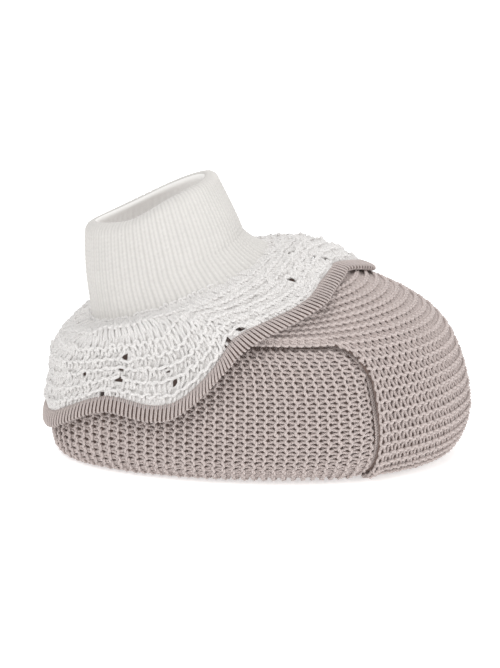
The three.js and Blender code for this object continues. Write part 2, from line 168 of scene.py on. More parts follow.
def centripetal(points: list[Array], per_span: int) -> Array:
    """Centripetal Catmull-Rom curves through rows of points, for many curves at once.

    Args:
        points: the control points, each an array of one point for each curve.
        per_span: samples between two control points.

    Returns:
        An array of samples by curves by 3.
    """
    ends = [2 * points[0] - points[1], *points, 2 * points[-1] - points[-2]]
    rows = []
    for p0, p1, p2, p3 in zip(ends, ends[1:], ends[2:], ends[3:]):
        gap = [np.sqrt(np.linalg.norm(b - a, axis=-1, keepdims=True)) for a, b in ((p0, p1), (p1, p2), (p2, p3))]
        d0, d1, d2 = (np.maximum(g, 1e-4) for g in gap)
        t1 = ((p1 - p0) / d0 - (p2 - p0) / (d0 + d1) + (p2 - p1) / d1) * d1
        t2 = ((p2 - p1) / d1 - (p3 - p1) / (d1 + d2) + (p3 - p2) / d2) * d1
        for w in np.arange(per_span) / per_span:
            rows.append(p1 + t1 * w + (3 * (p2 - p1) - 2 * t1 - t2) * w**2 + (2 * (p1 - p2) + t1 + t2) * w**3)
    rows.append(points[-1])
    return np.stack(rows)


class Last:
    """The shoe's outer surface, addressed by the distance along it from the toe and up it from the sole."""

    COLUMNS = 801
    ROWS = 241

    def __init__(self) -> None:
        """Samples the surface once, as a table of points and outward directions."""
        angle = np.linspace(0, math.pi, 401)
        line = RINGS[3].points(angle)
        girth = np.concatenate([[0], np.cumsum(np.linalg.norm(np.diff(line, axis=0), axis=1))])
        self.half_girth = float(girth[-1])
        self._girth, self._angle = girth, angle
        self.along = np.linspace(-self.half_girth, self.half_girth, self.COLUMNS)
        turned = self.angle_at(self.along)
        raw = centripetal([ring.points(turned) for ring in RINGS] + [ankle_line(turned)], 40)
        steps = np.linalg.norm(np.diff(raw, axis=0), axis=2)
        run = np.concatenate([np.zeros((1, self.COLUMNS)), np.cumsum(steps, axis=0)])
        self._length = run[-1]
        share = np.linspace(0, 1, self.ROWS)
        table = np.empty((self.COLUMNS, self.ROWS, 3))
        for i in range(self.COLUMNS):
            for axis in range(3):
                table[i, :, axis] = np.interp(share * run[-1, i], run[:, i], raw[:, i, axis])
        self._points = table
        self._normals = unit(np.cross(np.gradient(table, axis=0), np.gradient(table, axis=1)))

    def angle_at(self, along: Array) -> Array:
        """Angles round the foot for distances along the widest line."""
        return np.sign(along) * np.interp(np.abs(along), self._girth, self._angle)

    def along_at(self, angle: Array) -> Array:
        """Distances along the widest line for angles round the foot."""
        turned = np.arccos(np.cos(angle))
        return np.where(np.sin(angle) < 0, -1, 1) * np.interp(turned, self._angle, self._girth)

    def length(self, along: Array) -> Array:
        """How far it is up the surface, from the sole seam to the ankle line."""
        return np.interp(along, self.along, self._length)

    def _read(self, table: Array, along: Array, up: Array) -> Array:
        """Bilinear values of a table."""
        i = np.clip((along + self.half_girth) / (2 * self.half_girth), 0, 1) * (self.COLUMNS - 1)
        j = np.clip(up / self.length(along), 0, 1) * (self.ROWS - 1)
        i0, j0 = np.minimum(i.astype(int), self.COLUMNS - 2), np.minimum(j.astype(int), self.ROWS - 2)
        fi, fj = (i - i0)[..., None], (j - j0)[..., None]
        low = table[i0, j0] * (1 - fj) + table[i0, j0 + 1] * fj
        high = table[i0 + 1, j0] * (1 - fj) + table[i0 + 1, j0 + 1] * fj
        return low * (1 - fi) + high * fi

    def place(self, along: Array, up: Array, out: Array | float = 0.0) -> tuple[Array, Array]:
        """Points on or over the surface.

        Args:
            along: distances from the toe along the widest line, positive to the left.
            up: distances from the sole seam up the surface.
            out: distances outwards from the surface.

        Returns:
            The points and the outward directions there, in the shape's own millimetres.
        """
        normals = unit(self._read(self._normals, along, up))
        out = np.broadcast_to(np.asarray(out, float), along.shape)
        return self._read(self._points, along, up) + out[..., None] * normals, normals

    def up_to(self, along: float, height: float) -> float:
        """The distance up the surface at which it reaches a height."""
        i = int(round((along + self.half_girth) / (2 * self.half_girth) * (self.COLUMNS - 1)))
        z = np.maximum.accumulate(self._points[i, :, 2])
        return float(np.interp(height, z, np.linspace(0, self._length[i], self.ROWS)))


LAST = Last()


class CapSeam:
    """The line where the toe cap meets the quarters: up the side, round a corner and back to the ankle."""

    def __init__(self, last: Last) -> None:
        """Samples the seam's height on one side of the shoe."""
        self.far = np.linspace(CAP_SIDE, CAP_WING_END, 241)
        turned = np.clip((self.far - CAP_SIDE) / CAP_CORNER_RUN, 0, 1)
        rounded = np.sqrt(1 - (1 - turned) ** 2)
        level = CAP_CORNER_HEIGHT + (CAP_WING_HEIGHT - CAP_CORNER_HEIGHT) * rounded
        up = np.array([last.up_to(far, height) for far, height in zip(self.far, level)])
        top = last.length(self.far) - PANEL_TOP_GAP
        climb = smoothstep(self.far, CAP_WING_END - CAP_WING_RISE, CAP_WING_END)
        up = np.minimum(up, top)
        self.up = up + (top - up) * climb
        upright = np.linspace(PANEL_FOOT, self.up[0], 40, endpoint=False)
        ahead = np.full(len(upright), CAP_SIDE)
        self.line = np.stack([np.append(ahead, self.far), np.append(upright, self.up)], -1)

    def height(self, along: Array) -> Array:
        """The seam's distance up the surface behind its upright part."""
        return np.interp(np.abs(along), self.far, self.up)

    def distance(self, along: Array, up: Array) -> Array:
        """How far points of the surface are from the seam."""
        spots = np.stack([np.abs(along), up], -1).reshape(-1, 2)
        best = np.full(len(spots), np.inf)
        for x, y in self.line[::3]:
            best = np.minimum(best, (spots[:, 0] - x) ** 2 + (spots[:, 1] - y) ** 2)
        return np.sqrt(best).reshape(along.shape)


SEAM = CapSeam(LAST)
LOBES = ((0, 21), (30, 21), (50, 22.5), (90, 20), (112, 28.5), (135, 22.5), (165, 28), (180, 28.5))
TOE_LOBE_ANGLE, TOE_LOBE_WIDTH, TOE_LOBE_DROP = 14.0, 26.0, 8.0


def ruffle_drop(angle: Array) -> Array:
    """How far the ruffle reaches down from the ankle line, by the angle round the foot."""
    degrees = np.degrees(np.arccos(np.cos(angle)))
    drop = np.full(angle.shape, float(LOBES[-1][1]))
    for (start, low), (end, high) in zip(LOBES, LOBES[1:]):
        within = (degrees >= start) & (degrees <= end)
        drop = np.where(within, low + (high - low) * smoothstep(degrees, start, end), drop)
    signed = np.where(np.sin(angle) < 0, -degrees, degrees)
    off = np.abs(signed - TOE_LOBE_ANGLE) / TOE_LOBE_WIDTH
    return drop + TOE_LOBE_DROP * (1 - smoothstep(off, 0, 1))


def to_metres(points: Array) -> Array:
    """The shape's own millimetres as metres in the frame."""
    return (points + np.array([CENTRING, 0.0, 0.0])) * MM


# ---- meshes ----------------------------------------------------------------------------------------------


def object_from(name: str, verts: Array, faces: list[Array], uvs: dict[str, Array]) -> bpy.types.Object:
    """Makes a smooth mesh object from arrays.

    Args:
        name: the object's name.
        verts: points in metres.
        faces: arrays of faces, each array with its own number of corners.
        uvs: for each map's name, one pair for each corner in the faces' order.

    Returns:
        The object, linked to the scene.
    """
    mesh = bpy.data.meshes.new(name)
    corners = np.concatenate([f.ravel() for f in faces]).astype(np.int32)
    totals = np.concatenate([np.full(len(f), f.shape[1]) for f in faces]).astype(np.int32)
    starts = np.concatenate([[0], np.cumsum(totals)[:-1]]).astype(np.int32)
    mesh.vertices.add(len(verts))
    mesh.loops.add(len(corners))
    mesh.polygons.add(len(totals))
    mesh.vertices.foreach_set("co", verts.astype(np.float32).ravel())
    mesh.loops.foreach_set("vertex_index", corners)
    mesh.polygons.foreach_set("loop_start", starts)
    mesh.polygons.foreach_set("loop_total", totals)
    mesh.update(calc_edges=True)
    for map_name, values in uvs.items():
        layer = mesh.uv_layers.new(name=map_name)
        layer.data.foreach_set("uv", values.astype(np.float32).ravel())
    mesh.shade_smooth()
    mesh.validate()
    made = bpy.data.objects.new(name, mesh)
    bpy.context.scene.collection.objects.link(made)
    return made


class Threads:
    """Yarn gathered strand by strand into one mesh of tubes."""

    def __init__(self, sides: int) -> None:
        """Starts with no strands; every tube has this many sides."""
        self.sides = sides
        self._verts: list[Array] = []
        self._quads: list[Array] = []
        self._caps: list[Array] = []
        self._runs: list[Array] = []
        self._count = 0

    def add(self, line: Array, normals: Array, radius: Array | float, closed: bool = False) -> None:
        """Lays one strand.

        Args:
            line: its centre line in millimetres.
            normals: outward directions of the cloth along it.
            radius: the yarn's radius in millimetres.
            closed: whether it runs round into its own start.
        """
        count, sides = len(line), self.sides
        if count < 4:
            return
        if closed:
            tangent = unit(np.roll(line, -1, axis=0) - np.roll(line, 1, axis=0))
        else:
            tangent = unit(np.gradient(line, axis=0))
        across = unit(np.cross(tangent, normals))
        outward = np.cross(across, tangent)
        turn = 2 * math.pi * np.arange(sides) / sides
        size = np.broadcast_to(np.asarray(radius, float), (count,))[:, None, None]
        ring = across[:, None] * np.cos(turn)[None, :, None] + outward[:, None] * np.sin(turn)[None, :, None]
        verts = (line[:, None] + size * ring).reshape(-1, 3)
        i = np.arange(count if closed else count - 1)[:, None] * sides
        j = np.arange(sides)[None]
        after, beside = np.roll(np.arange(count), -1)[: len(i)][:, None] * sides, (j + 1) % sides
        quads = np.stack([i + j, i + beside, after + beside, after + j], -1).reshape(-1, 4)
        self._quads.append(quads[:, ::-1] + self._count)
        if not closed:
            ends = np.stack([np.arange(sides), np.arange(sides)[::-1] + (count - 1) * sides])
            self._caps.append(ends + self._count)
        step = np.linalg.norm(np.diff(line, axis=0), axis=1)
        run = np.concatenate([[0], np.cumsum(step)])
        if closed:
            run = np.append(run, run[-1] + np.linalg.norm(line[0] - line[-1]))
        self._runs.append(run)
        self._verts.append(verts)
        self._count += len(verts)

    def build(self, name: str) -> bpy.types.Object:
        """Makes the mesh, with a map that lays the strands out side by side and one that follows the yarn."""
        longest = max(run[-1] for run in self._runs)
        total = len(self._runs)
        lanes, along_yarn = [], []
        turns = np.arange(self.sides + 1) / self.sides
        for k, (run, quads) in enumerate(zip(self._runs, self._quads)):
            shape = (len(quads) // self.sides, self.sides)
            edges = (run[: shape[0], None], run[1 : shape[0] + 1, None], turns[None, :-1], turns[None, 1:])
            a, b, lo, hi = (np.broadcast_to(edge, shape) for edge in edges)
            # The corners run backwards, as the quads do.
            u, v = np.stack([b, b, a, a], -1), np.stack([lo, hi, hi, lo], -1)
            along_yarn.append(np.stack([u, v], -1).reshape(-1, 2))
            lane = np.stack([0.01 + 0.98 * u / longest, (k + 0.1 + 0.8 * v) / total], -1)
            lanes.append(lane.reshape(-1, 2))
        caps = np.concatenate(self._caps) if self._caps else np.zeros((0, self.sides), int)
        # The strands' ends are hidden, so they share one spot outside every lane.
        corner = np.tile(np.array([[0.002, 0.002]]), (caps.size, 1))
        uvs = {"OFBake": np.concatenate([*lanes, corner]), "Yarn": np.concatenate([*along_yarn, corner])}
        faces = [np.concatenate(self._quads)] + ([caps] if len(caps) else [])
        return object_from(name, to_metres(np.concatenate(self._verts)), faces, uvs)


def mark_points(piece: bpy.types.Object, name: str, values: Array) -> None:
    """Gives every point of a mesh a value that its finish can read."""
    marks = piece.data.attributes.new(name, "FLOAT", "POINT")
    marks.data.foreach_set("value", values.astype(np.float32))


def cell_corners(i: Array, j: Array) -> Array:
    """The grid corners of each cell, in order round it: cells by 4 by 2."""
    return np.stack([np.stack([i + di, j + dj], -1) for di, dj in ((0, 0), (1, 0), (1, 1), (0, 1))], 1)


def closed_cloth(
    name: str, outer: Array, inner: Array, goes_round: bool = False, keep: Array | None = None
) -> bpy.types.Object:
    """Makes a thin closed cloth from two grids of points.

    Args:
        name: the object's name.
        outer: columns by rows by 3, the face side, in millimetres.
        inner: the same for the back.
        goes_round: whether the last column joins the first.
        keep: columns by rows of cells that are there; all of them when it's left out.

    Returns:
        The cloth, whose points are marked 0 on the face and 1 on the back.
    """
    columns, rows = outer.shape[0] - (0 if goes_round else 1), outer.shape[1] - 1
    keep = np.ones((columns, rows), bool) if keep is None else keep
    face = np.arange(outer.shape[0] * outer.shape[1]).reshape(outer.shape[:2])
    back = face + face.size
    i, j = np.nonzero(keep)
    cells = cell_corners(i, j)

    def points_at(side: Array, spots: Array) -> Array:
        """The numbers of one side's points at spots of the grid."""
        return side[spots[..., 0] % outer.shape[0], spots[..., 1]]

    faces = [points_at(face, cells), points_at(back, cells)[:, ::-1]]
    grid = [cells, cells[:, ::-1]]
    padded = np.zeros((columns + 2, rows + 2), bool)
    padded[1:-1, 1:-1] = keep
    if goes_round:
        padded[0, 1:-1], padded[-1, 1:-1] = keep[-1], keep[0]
    # A wall closes each side of a cell that has no neighbour there.
    for di, dj, first, second in ((0, -1, 0, 1), (0, 1, 2, 3), (-1, 0, 3, 0), (1, 0, 1, 2)):
        edge = ~padded[i + 1 + di, j + 1 + dj]
        a, b = cells[edge, first], cells[edge, second]
        wall = ((face, b), (face, a), (back, a), (back, b))
        faces.append(np.stack([points_at(side, spots) for side, spots in wall], -1))
        grid.append(np.stack([b, a, a, b], 1))
    maps = []
    for k, corners in enumerate(grid):
        flat = corners.reshape(-1, 2) / np.array([columns, rows], float)
        # The back's map lies above the face's.
        above = 0.5 if k == 1 else 0.0
        maps.append(np.stack([0.005 + 0.99 * flat[:, 0], 0.005 + 0.485 * flat[:, 1] + above], -1))
    verts = np.concatenate([outer.reshape(-1, 3), inner.reshape(-1, 3)])
    made = object_from(name, to_metres(verts), faces, {"OFBake": np.concatenate(maps)})
    mark_points(made, "Back", np.repeat([0.0, 1.0], face.size))
    tidy = bmesh.new()
    tidy.from_mesh(made.data)
    bmesh.ops.delete(tidy, geom=[v for v in tidy.verts if not v.link_faces], context="VERTS")
    if tidy.calc_volume(signed=True) < 0:
        bmesh.ops.reverse_faces(tidy, faces=tidy.faces)
    tidy.to_mesh(made.data)
    tidy.free()
    return made


# ---- finishes --------------------------------------------------------------------------------------------


class Shade(Enum):
    """The yarn colours, linear, with painted shade and painted light where their names say."""

    TAUPE = (0.61, 0.53, 0.505)
    # The taupe ground's face: darker than the yarn, as painted shade between the stitches.
    TAUPE_PAINTED_SHADE = (0.17, 0.125, 0.11)
    LACE = (0.79, 0.77, 0.755)
    # The off-white ground's face: a little darker than the yarn, as painted shade between the loops.
    LACE_PAINTED_SHADE = (0.74, 0.72, 0.705)
    RIB = (0.68, 0.66, 0.635)
    # The cuff's inside: the same yarn as the rib, made lighter as painted light.
    RIB_INSIDE_PAINTED_LIGHT = (0.80, 0.785, 0.765)
    FLOOR = (0.92, 0.92, 0.92)


class Nodes:
    """A material's node tree, with short ways to add to it."""

    def __init__(self, tree: bpy.types.NodeTree) -> None:
        """Works on one tree."""
        self.tree = tree

    def set(self, node: bpy.types.Node, **values: object) -> bpy.types.Node:
        """Sets a node's properties, and its sockets by their names with underscores for spaces.

        Args:
            node: the node to set.
            values: what each property or socket gets.

        Returns:
            The node.
        """
        for name, value in values.items():
            if hasattr(node, name):
                setattr(node, name, value)
            else:
                node.inputs[name.replace("_", " ")].default_value = value
        return node

    def add(self, kind: str, **values: object) -> bpy.types.Node:
        """Adds a node and sets it."""
        return self.set(self.tree.nodes.new(kind), **values)

    def link(self, out: bpy.types.NodeSocket, into: bpy.types.NodeSocket) -> None:
        """Joins two sockets."""
        self.tree.links.new(out, into)

    def math(self, operation: str, a: object, b: object = 0.0) -> bpy.types.NodeSocket:
        """Adds a sum, product or the like of two sockets or numbers."""
        node = self.add("ShaderNodeMath", operation=operation)
        for socket, value in zip(node.inputs, (a, b)):
            if isinstance(value, bpy.types.NodeSocket):
                self.link(value, socket)
            else:
                socket.default_value = value
        return node.outputs[0]

    def texture(self, kind: str, where: bpy.types.Node, **values: object) -> bpy.types.Node:
        """Adds a texture that is fixed to the object."""
        node = self.add(kind, **values)
        self.link(where.outputs["Object"], node.inputs["Vector"])
        return node

    def ramp(
        self,
        amount: bpy.types.NodeSocket,
        shade: Shade,
        dark: float,
        light: float = 1.0,
        low: float = 0.0,
        high: float = 1.0,
    ) -> bpy.types.NodeSocket:
        """Adds a ramp between two depths of one shade.

        Args:
            amount: what chooses the depth.
            shade: the shade.
            dark: its share at the dark end.
            light: its share at the light end.
            low: the amount at which the dark end stops.
            high: the amount from which the light end holds.

        Returns:
            The colour.
        """
        node = self.add("ShaderNodeValToRGB")
        for element, position, share in zip(node.color_ramp.elements, (low, high), (dark, light)):
            element.position = position
            element.color = (*[c * share for c in shade.value], 1.0)
        self.link(amount, node.inputs["Fac"])
        return node.outputs["Color"]

    def bump(self, height: bpy.types.NodeSocket, shader: bpy.types.Node, strength: float, depth: float) -> None:
        """Gives a shader a fine relief, with its depth in metres."""
        node = self.add("ShaderNodeBump", Strength=strength, Distance=depth)
        self.link(height, node.inputs["Height"])
        self.link(node.outputs["Normal"], shader.inputs["Normal"])


def new_material(name: str) -> tuple[bpy.types.Material, Nodes, bpy.types.Node]:
    """Makes a material, with short ways to its nodes and its shader."""
    made = bpy.data.materials.new(name)
    made.use_nodes = True
    return made, Nodes(made.node_tree), made.node_tree.nodes["Principled BSDF"]


def ply_twist_group() -> bpy.types.NodeTree:
    """The twist of a plied yarn and its loose fibres, for a map that follows the yarn in millimetres.

    Returns:
        The node group: it puts out a height for a Bump node and a shade from 0 to 1, darker in the grooves between
            the plies as painted shade and mottled at random.
    """
    group = bpy.data.node_groups.new("ply twist", "ShaderNodeTree")
    face = group.interface
    for name, value in (("Twist length", 2.2), ("Plies", 3.0), ("Fuzz", 0.35), ("Mottle size", 900.0)):
        face.new_socket(name, in_out="INPUT", socket_type="NodeSocketFloat").default_value = value
    for name in ("Height", "Shade"):
        face.new_socket(name, in_out="OUTPUT", socket_type="NodeSocketFloat")
    n = Nodes(group)
    given, result = n.add("NodeGroupInput"), n.add("NodeGroupOutput")
    split = n.add("ShaderNodeSeparateXYZ")
    n.link(n.add("ShaderNodeUVMap", uv_map="Yarn").outputs["UV"], split.inputs[0])
    wound = n.math("ADD", n.math("DIVIDE", split.outputs["X"], given.outputs["Twist length"]), split.outputs["Y"])
    phase = n.math("MULTIPLY", n.math("MULTIPLY", wound, given.outputs["Plies"]), 2 * math.pi)
    ply = n.math("ABSOLUTE", n.math("COSINE", n.math("MULTIPLY", phase, 0.5)))
    where = n.add("ShaderNodeTexCoord")
    fuzz = n.texture("ShaderNodeTexNoise", where, Scale=5200.0, Detail=3.0, Roughness=0.65)
    mottle = n.texture("ShaderNodeTexNoise", where, Detail=2.0, Roughness=0.5)
    n.link(given.outputs["Mottle size"], mottle.inputs["Scale"])
    rough = n.math("MULTIPLY", fuzz.outputs["Fac"], given.outputs["Fuzz"])
    n.link(n.math("ADD", ply, rough), result.inputs["Height"])
    # The tone is painted shade in the grooves between the plies, with random mottle and fuzz.
    tone = n.math("ADD", n.math("MULTIPLY", ply, 0.35), n.math("MULTIPLY", mottle.outputs["Fac"], 0.45))
    n.link(n.math("ADD", tone, n.math("MULTIPLY", fuzz.outputs["Fac"], 0.2)), result.inputs["Shade"])
    return group


@dataclass(frozen=True)
class YarnFinish:
    """Soft matt yarn: its colour, how its plies twist, how deep they are and how dark the painted shade in their
    grooves gets.
    """

    name: str
    shade: Shade
    dark: float = 0.78
    twist: float = 2.2
    plies: float = 3.0
    depth: float = 0.00012
    fuzz: float = 0.35
    sheen: float = 0.25

    def material(self, group: bpy.types.NodeTree) -> bpy.types.Material:
        """Builds the material.

        Args:
            group: the ply twist.

        Returns:
            The material, for meshes with a map named Yarn.
        """
        made, n, shader = new_material(self.name)
        twist = n.add("ShaderNodeGroup", node_tree=group)
        n.set(twist, Twist_length=self.twist, Plies=self.plies, Fuzz=self.fuzz)
        colour = n.ramp(twist.outputs["Shade"], self.shade, self.dark, low=0.15, high=0.75)
        n.link(colour, shader.inputs["Base Color"])
        n.bump(twist.outputs["Height"], shader, 0.8, self.depth)
        n.set(shader, Roughness=0.92, Specular_IOR_Level=0.12, Sheen_Weight=self.sheen, Sheen_Roughness=0.45)
        return made


@dataclass(frozen=True)
class GroundFinish:
    """The ground cloth's finish: painted shadow on its face, between the stitches, plain knit on its back, and a
    painted glow.
    """

    name: str
    shade: Shade
    back: Shade
    painted_glow: float

    def material(self) -> bpy.types.Material:
        """Builds the material: fine mottle on the face, level rows on the back, and a faint painted glow."""
        made, n, shader = new_material(self.name)
        where = n.add("ShaderNodeTexCoord")
        noise = n.texture("ShaderNodeTexNoise", where, Scale=1500.0, Detail=4.0)
        rows = n.texture("ShaderNodeTexWave", where, bands_direction="Z", Scale=230.0, Distortion=1.5, Detail=1.0)
        side = n.add("ShaderNodeAttribute", attribute_name="Back")
        # A Mix node's colour sockets go by number, because their names are not unique.
        choose = n.add("ShaderNodeMix", data_type="RGBA")
        n.link(side.outputs["Fac"], choose.inputs[0])
        # The face takes the painted shade between the stitches; the back takes plain knit rows.
        n.link(n.ramp(noise.outputs["Fac"], self.shade, 0.7), choose.inputs[6])
        n.link(n.ramp(rows.outputs["Fac"], self.back, 0.55, 0.95), choose.inputs[7])
        n.link(choose.outputs[2], shader.inputs["Base Color"])
        n.bump(n.math("ADD", noise.outputs["Fac"], rows.outputs["Fac"]), shader, 0.6, 0.0002)
        n.set(shader, Roughness=0.95, Specular_IOR_Level=0.1)
        # A faint painted glow in the shade's colour stands for light coming through the thin knit.
        n.set(shader, Emission_Color=(*self.shade.value, 1.0), Emission_Strength=self.painted_glow)
        return made


@dataclass(frozen=True)
class RibFinish:
    """The cuff's fine rib, whose stitches are in its mesh; this adds yarn fibre, painted shade in the furrows and
    creases, and a soft painted glow.
    """

    name: str
    shade: Shade
    painted_glow: float = 0.0

    def material(self) -> bpy.types.Material:
        """Builds the material: two sizes of noise, darkened in the rib's furrows and creases as painted shade."""
        made, n, shader = new_material(self.name)
        where = n.add("ShaderNodeTexCoord")
        fine = n.texture("ShaderNodeTexNoise", where, Scale=4200.0, Detail=4.0, Roughness=0.6).outputs["Fac"]
        broad = n.texture("ShaderNodeTexNoise", where, Scale=260.0, Detail=2.0).outputs["Fac"]
        furrow = n.add("ShaderNodeAttribute", attribute_name="PaintedFurrowShade").outputs["Fac"]
        noise = n.math("ADD", n.math("MULTIPLY", fine, 0.3), n.math("MULTIPLY", broad, 0.2))
        # The colour darkens in the furrows and creases: painted shade.
        tone = n.math("SUBTRACT", n.math("ADD", noise, 0.65), n.math("MULTIPLY", furrow, 0.5))
        n.link(n.ramp(tone, self.shade, 0.7), shader.inputs["Base Color"])
        n.bump(fine, shader, 0.5, 0.00006)
        n.set(shader, Roughness=0.93, Specular_IOR_Level=0.1, Sheen_Weight=0.15, Sheen_Roughness=0.5)
        # The glow is painted light, used on the cuff's inside.
        n.set(shader, Emission_Color=(*self.shade.value, 1.0), Emission_Strength=self.painted_glow)
        return made


class Wardrobe:
    """Every finish of the bootie, built once."""

    def __init__(self) -> None:
        """Builds the materials."""
        twist = ply_twist_group()
        self.taupe = YarnFinish("taupe yarn", Shade.TAUPE).material(twist)
        self.taupe_edge = YarnFinish("taupe edge yarn", Shade.TAUPE, dark=0.74, twist=1.6).material(twist)
        self.lace = YarnFinish("off-white yarn", Shade.LACE, dark=0.9, twist=1.9).material(twist)
        # The grounds' faces are painted shade between the stitches, and their glow is painted light through the thin
        # knit.
        self.taupe_ground = GroundFinish("taupe knit back painted shade", Shade.TAUPE_PAINTED_SHADE, Shade.TAUPE, painted_glow=0.3).material()
        self.lace_ground = GroundFinish("off-white knit back", Shade.LACE_PAINTED_SHADE, Shade.LACE, painted_glow=0.12).material()
        self.rib = RibFinish("warm white rib", Shade.RIB).material()
        # The lining's lighter colour and its glow are painted light inside the cuff.
        self.rib_inside_painted_light = RibFinish("warm white rib inside", Shade.RIB_INSIDE_PAINTED_LIGHT, painted_glow=0.16).material()


def dress(piece: bpy.types.Object, material: bpy.types.Material) -> bpy.types.Object:
    """Gives a piece its finish."""
    piece.data.materials.clear()
    piece.data.materials.append(material)
    return piece


def report(piece: bpy.types.Object) -> None:
    """Logs a finished piece."""
    triangles = sum(p.loop_total - 2 for p in piece.data.polygons)
    area = sum(p.area for p in piece.data.polygons) / 2 / MM**2
    LOG.info("%s: %d triangles, %.0f square mm a side", piece.name, triangles, area)


# ---- garter stitch ---------------------------------------------------------------------------------------


@dataclass
class Garter:
    """The geometry of garter stitch: knit and purl courses in turn, so that ridges form between pairs."""

    course: float = 1.22
    wale: float = 2.05
    reach: float = 1.42
    bow: float = 0.14
    knit_pairing: float = 0.1
    purl_pairing: float = 0.06
    skew: float = 0.04
    depth: float = 0.34
    ridge: float = 0.5
    radius: float = 0.345
    points: int = 16
    jitter: float = 0.05
    seed: int = 11

    def loops(self, number: int, first: float, last: float) -> tuple[Array, Array, Array]:
        """One course of yarn, laid flat.

        Args:
            number: the course's number; even courses are knit and odd ones purl.
            first: where it starts, in stitches.
            last: where it ends, in stitches.

        Returns:
            Distances along the course, across the courses and out of the cloth, in millimetres.
        """
        count = max(4, int(round((last - first) * self.points)))
        s = np.linspace(first, last, count)
        knit = 1.0 if number % 2 == 0 else -1.0
        random = np.random.default_rng(self.seed * 1000 + number)
        knots = np.arange(math.floor(first) - 1, math.ceil(last) + 3)
        uneven = [np.interp(s, knots, random.normal(0, self.jitter, len(knots))) for _ in range(3)]
        pairing = self.knit_pairing if knit > 0 else -self.purl_pairing
        lean = self.bow * np.sin(4 * math.pi * s) - pairing * np.sin(2 * math.pi * s)
        x = self.wale * (s + lean + self.skew * (1 - knit) / 2) + uneven[0]
        y = number * self.course - self.reach * self.course / 2 * np.cos(2 * math.pi * s) + uneven[1]
        z = -knit * self.depth * np.cos(6 * math.pi * s)
        z = z + self.ridge * np.cos(math.pi * (y / self.course - 0.5)) + uneven[2]
        return x, y, z

    def row(self, number: int, reach: float) -> tuple[Array, Array, Array]:
        """One course that reaches as far to either side of the middle, in millimetres."""
        return self.loops(number, -reach / self.wale, reach / self.wale)


@dataclass
class Panel:
    """A garter-stitch piece: a ground cloth, and the yarn over it, which goes on a little under the ruffle."""

    name: str
    finish: str
    garter: Garter
    middle: float = -0.95
    ground_face: float = -1.7
    ground_back: float = -2.2
    hidden_reach: float = 7.0
    sides: int = 6

    def cloth(self, along: Array, up: Array, out: Array, keep: Array | None = None) -> bpy.types.Object:
        """Builds the ground cloth on the shoe's surface.

        Args:
            along: columns by rows of distances from the toe along the surface.
            up: the same for distances up it.
            out: how far the cloth stands out from its own depth.
            keep: which cells are there.

        Returns:
            The ground cloth.
        """
        faces = [LAST.place(along, up, depth + out)[0] for depth in (self.ground_face, self.ground_back)]
        return closed_cloth(f"{self.name}_ground", *faces, keep=keep)

    def dress(
        self,
        ground: bpy.types.Object,
        yarn: list[bpy.types.Object],
        cloth: bpy.types.Material,
        thread: bpy.types.Material,
    ) -> None:
        """Gives the panel's pieces their finishes and places in the frame.

        Args:
            ground: the ground cloth.
            yarn: the pieces of yarn over it.
            cloth: the ground cloth's finish.
            thread: the yarn's finish.
        """
        dress(ground, cloth)
        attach(ground, "shoe")
        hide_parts(self.name)
        for piece in yarn:
            dress(piece, thread)
            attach(piece, "shoe")
            report(piece)
        report(ground)


def under_ruffle(along: Array, margin: float) -> Array:
    """How far up the surface the ruffle's hem lies, and a margin beyond it where nothing can be seen."""
    return LAST.length(along) - ruffle_drop(LAST.angle_at(along)) + margin


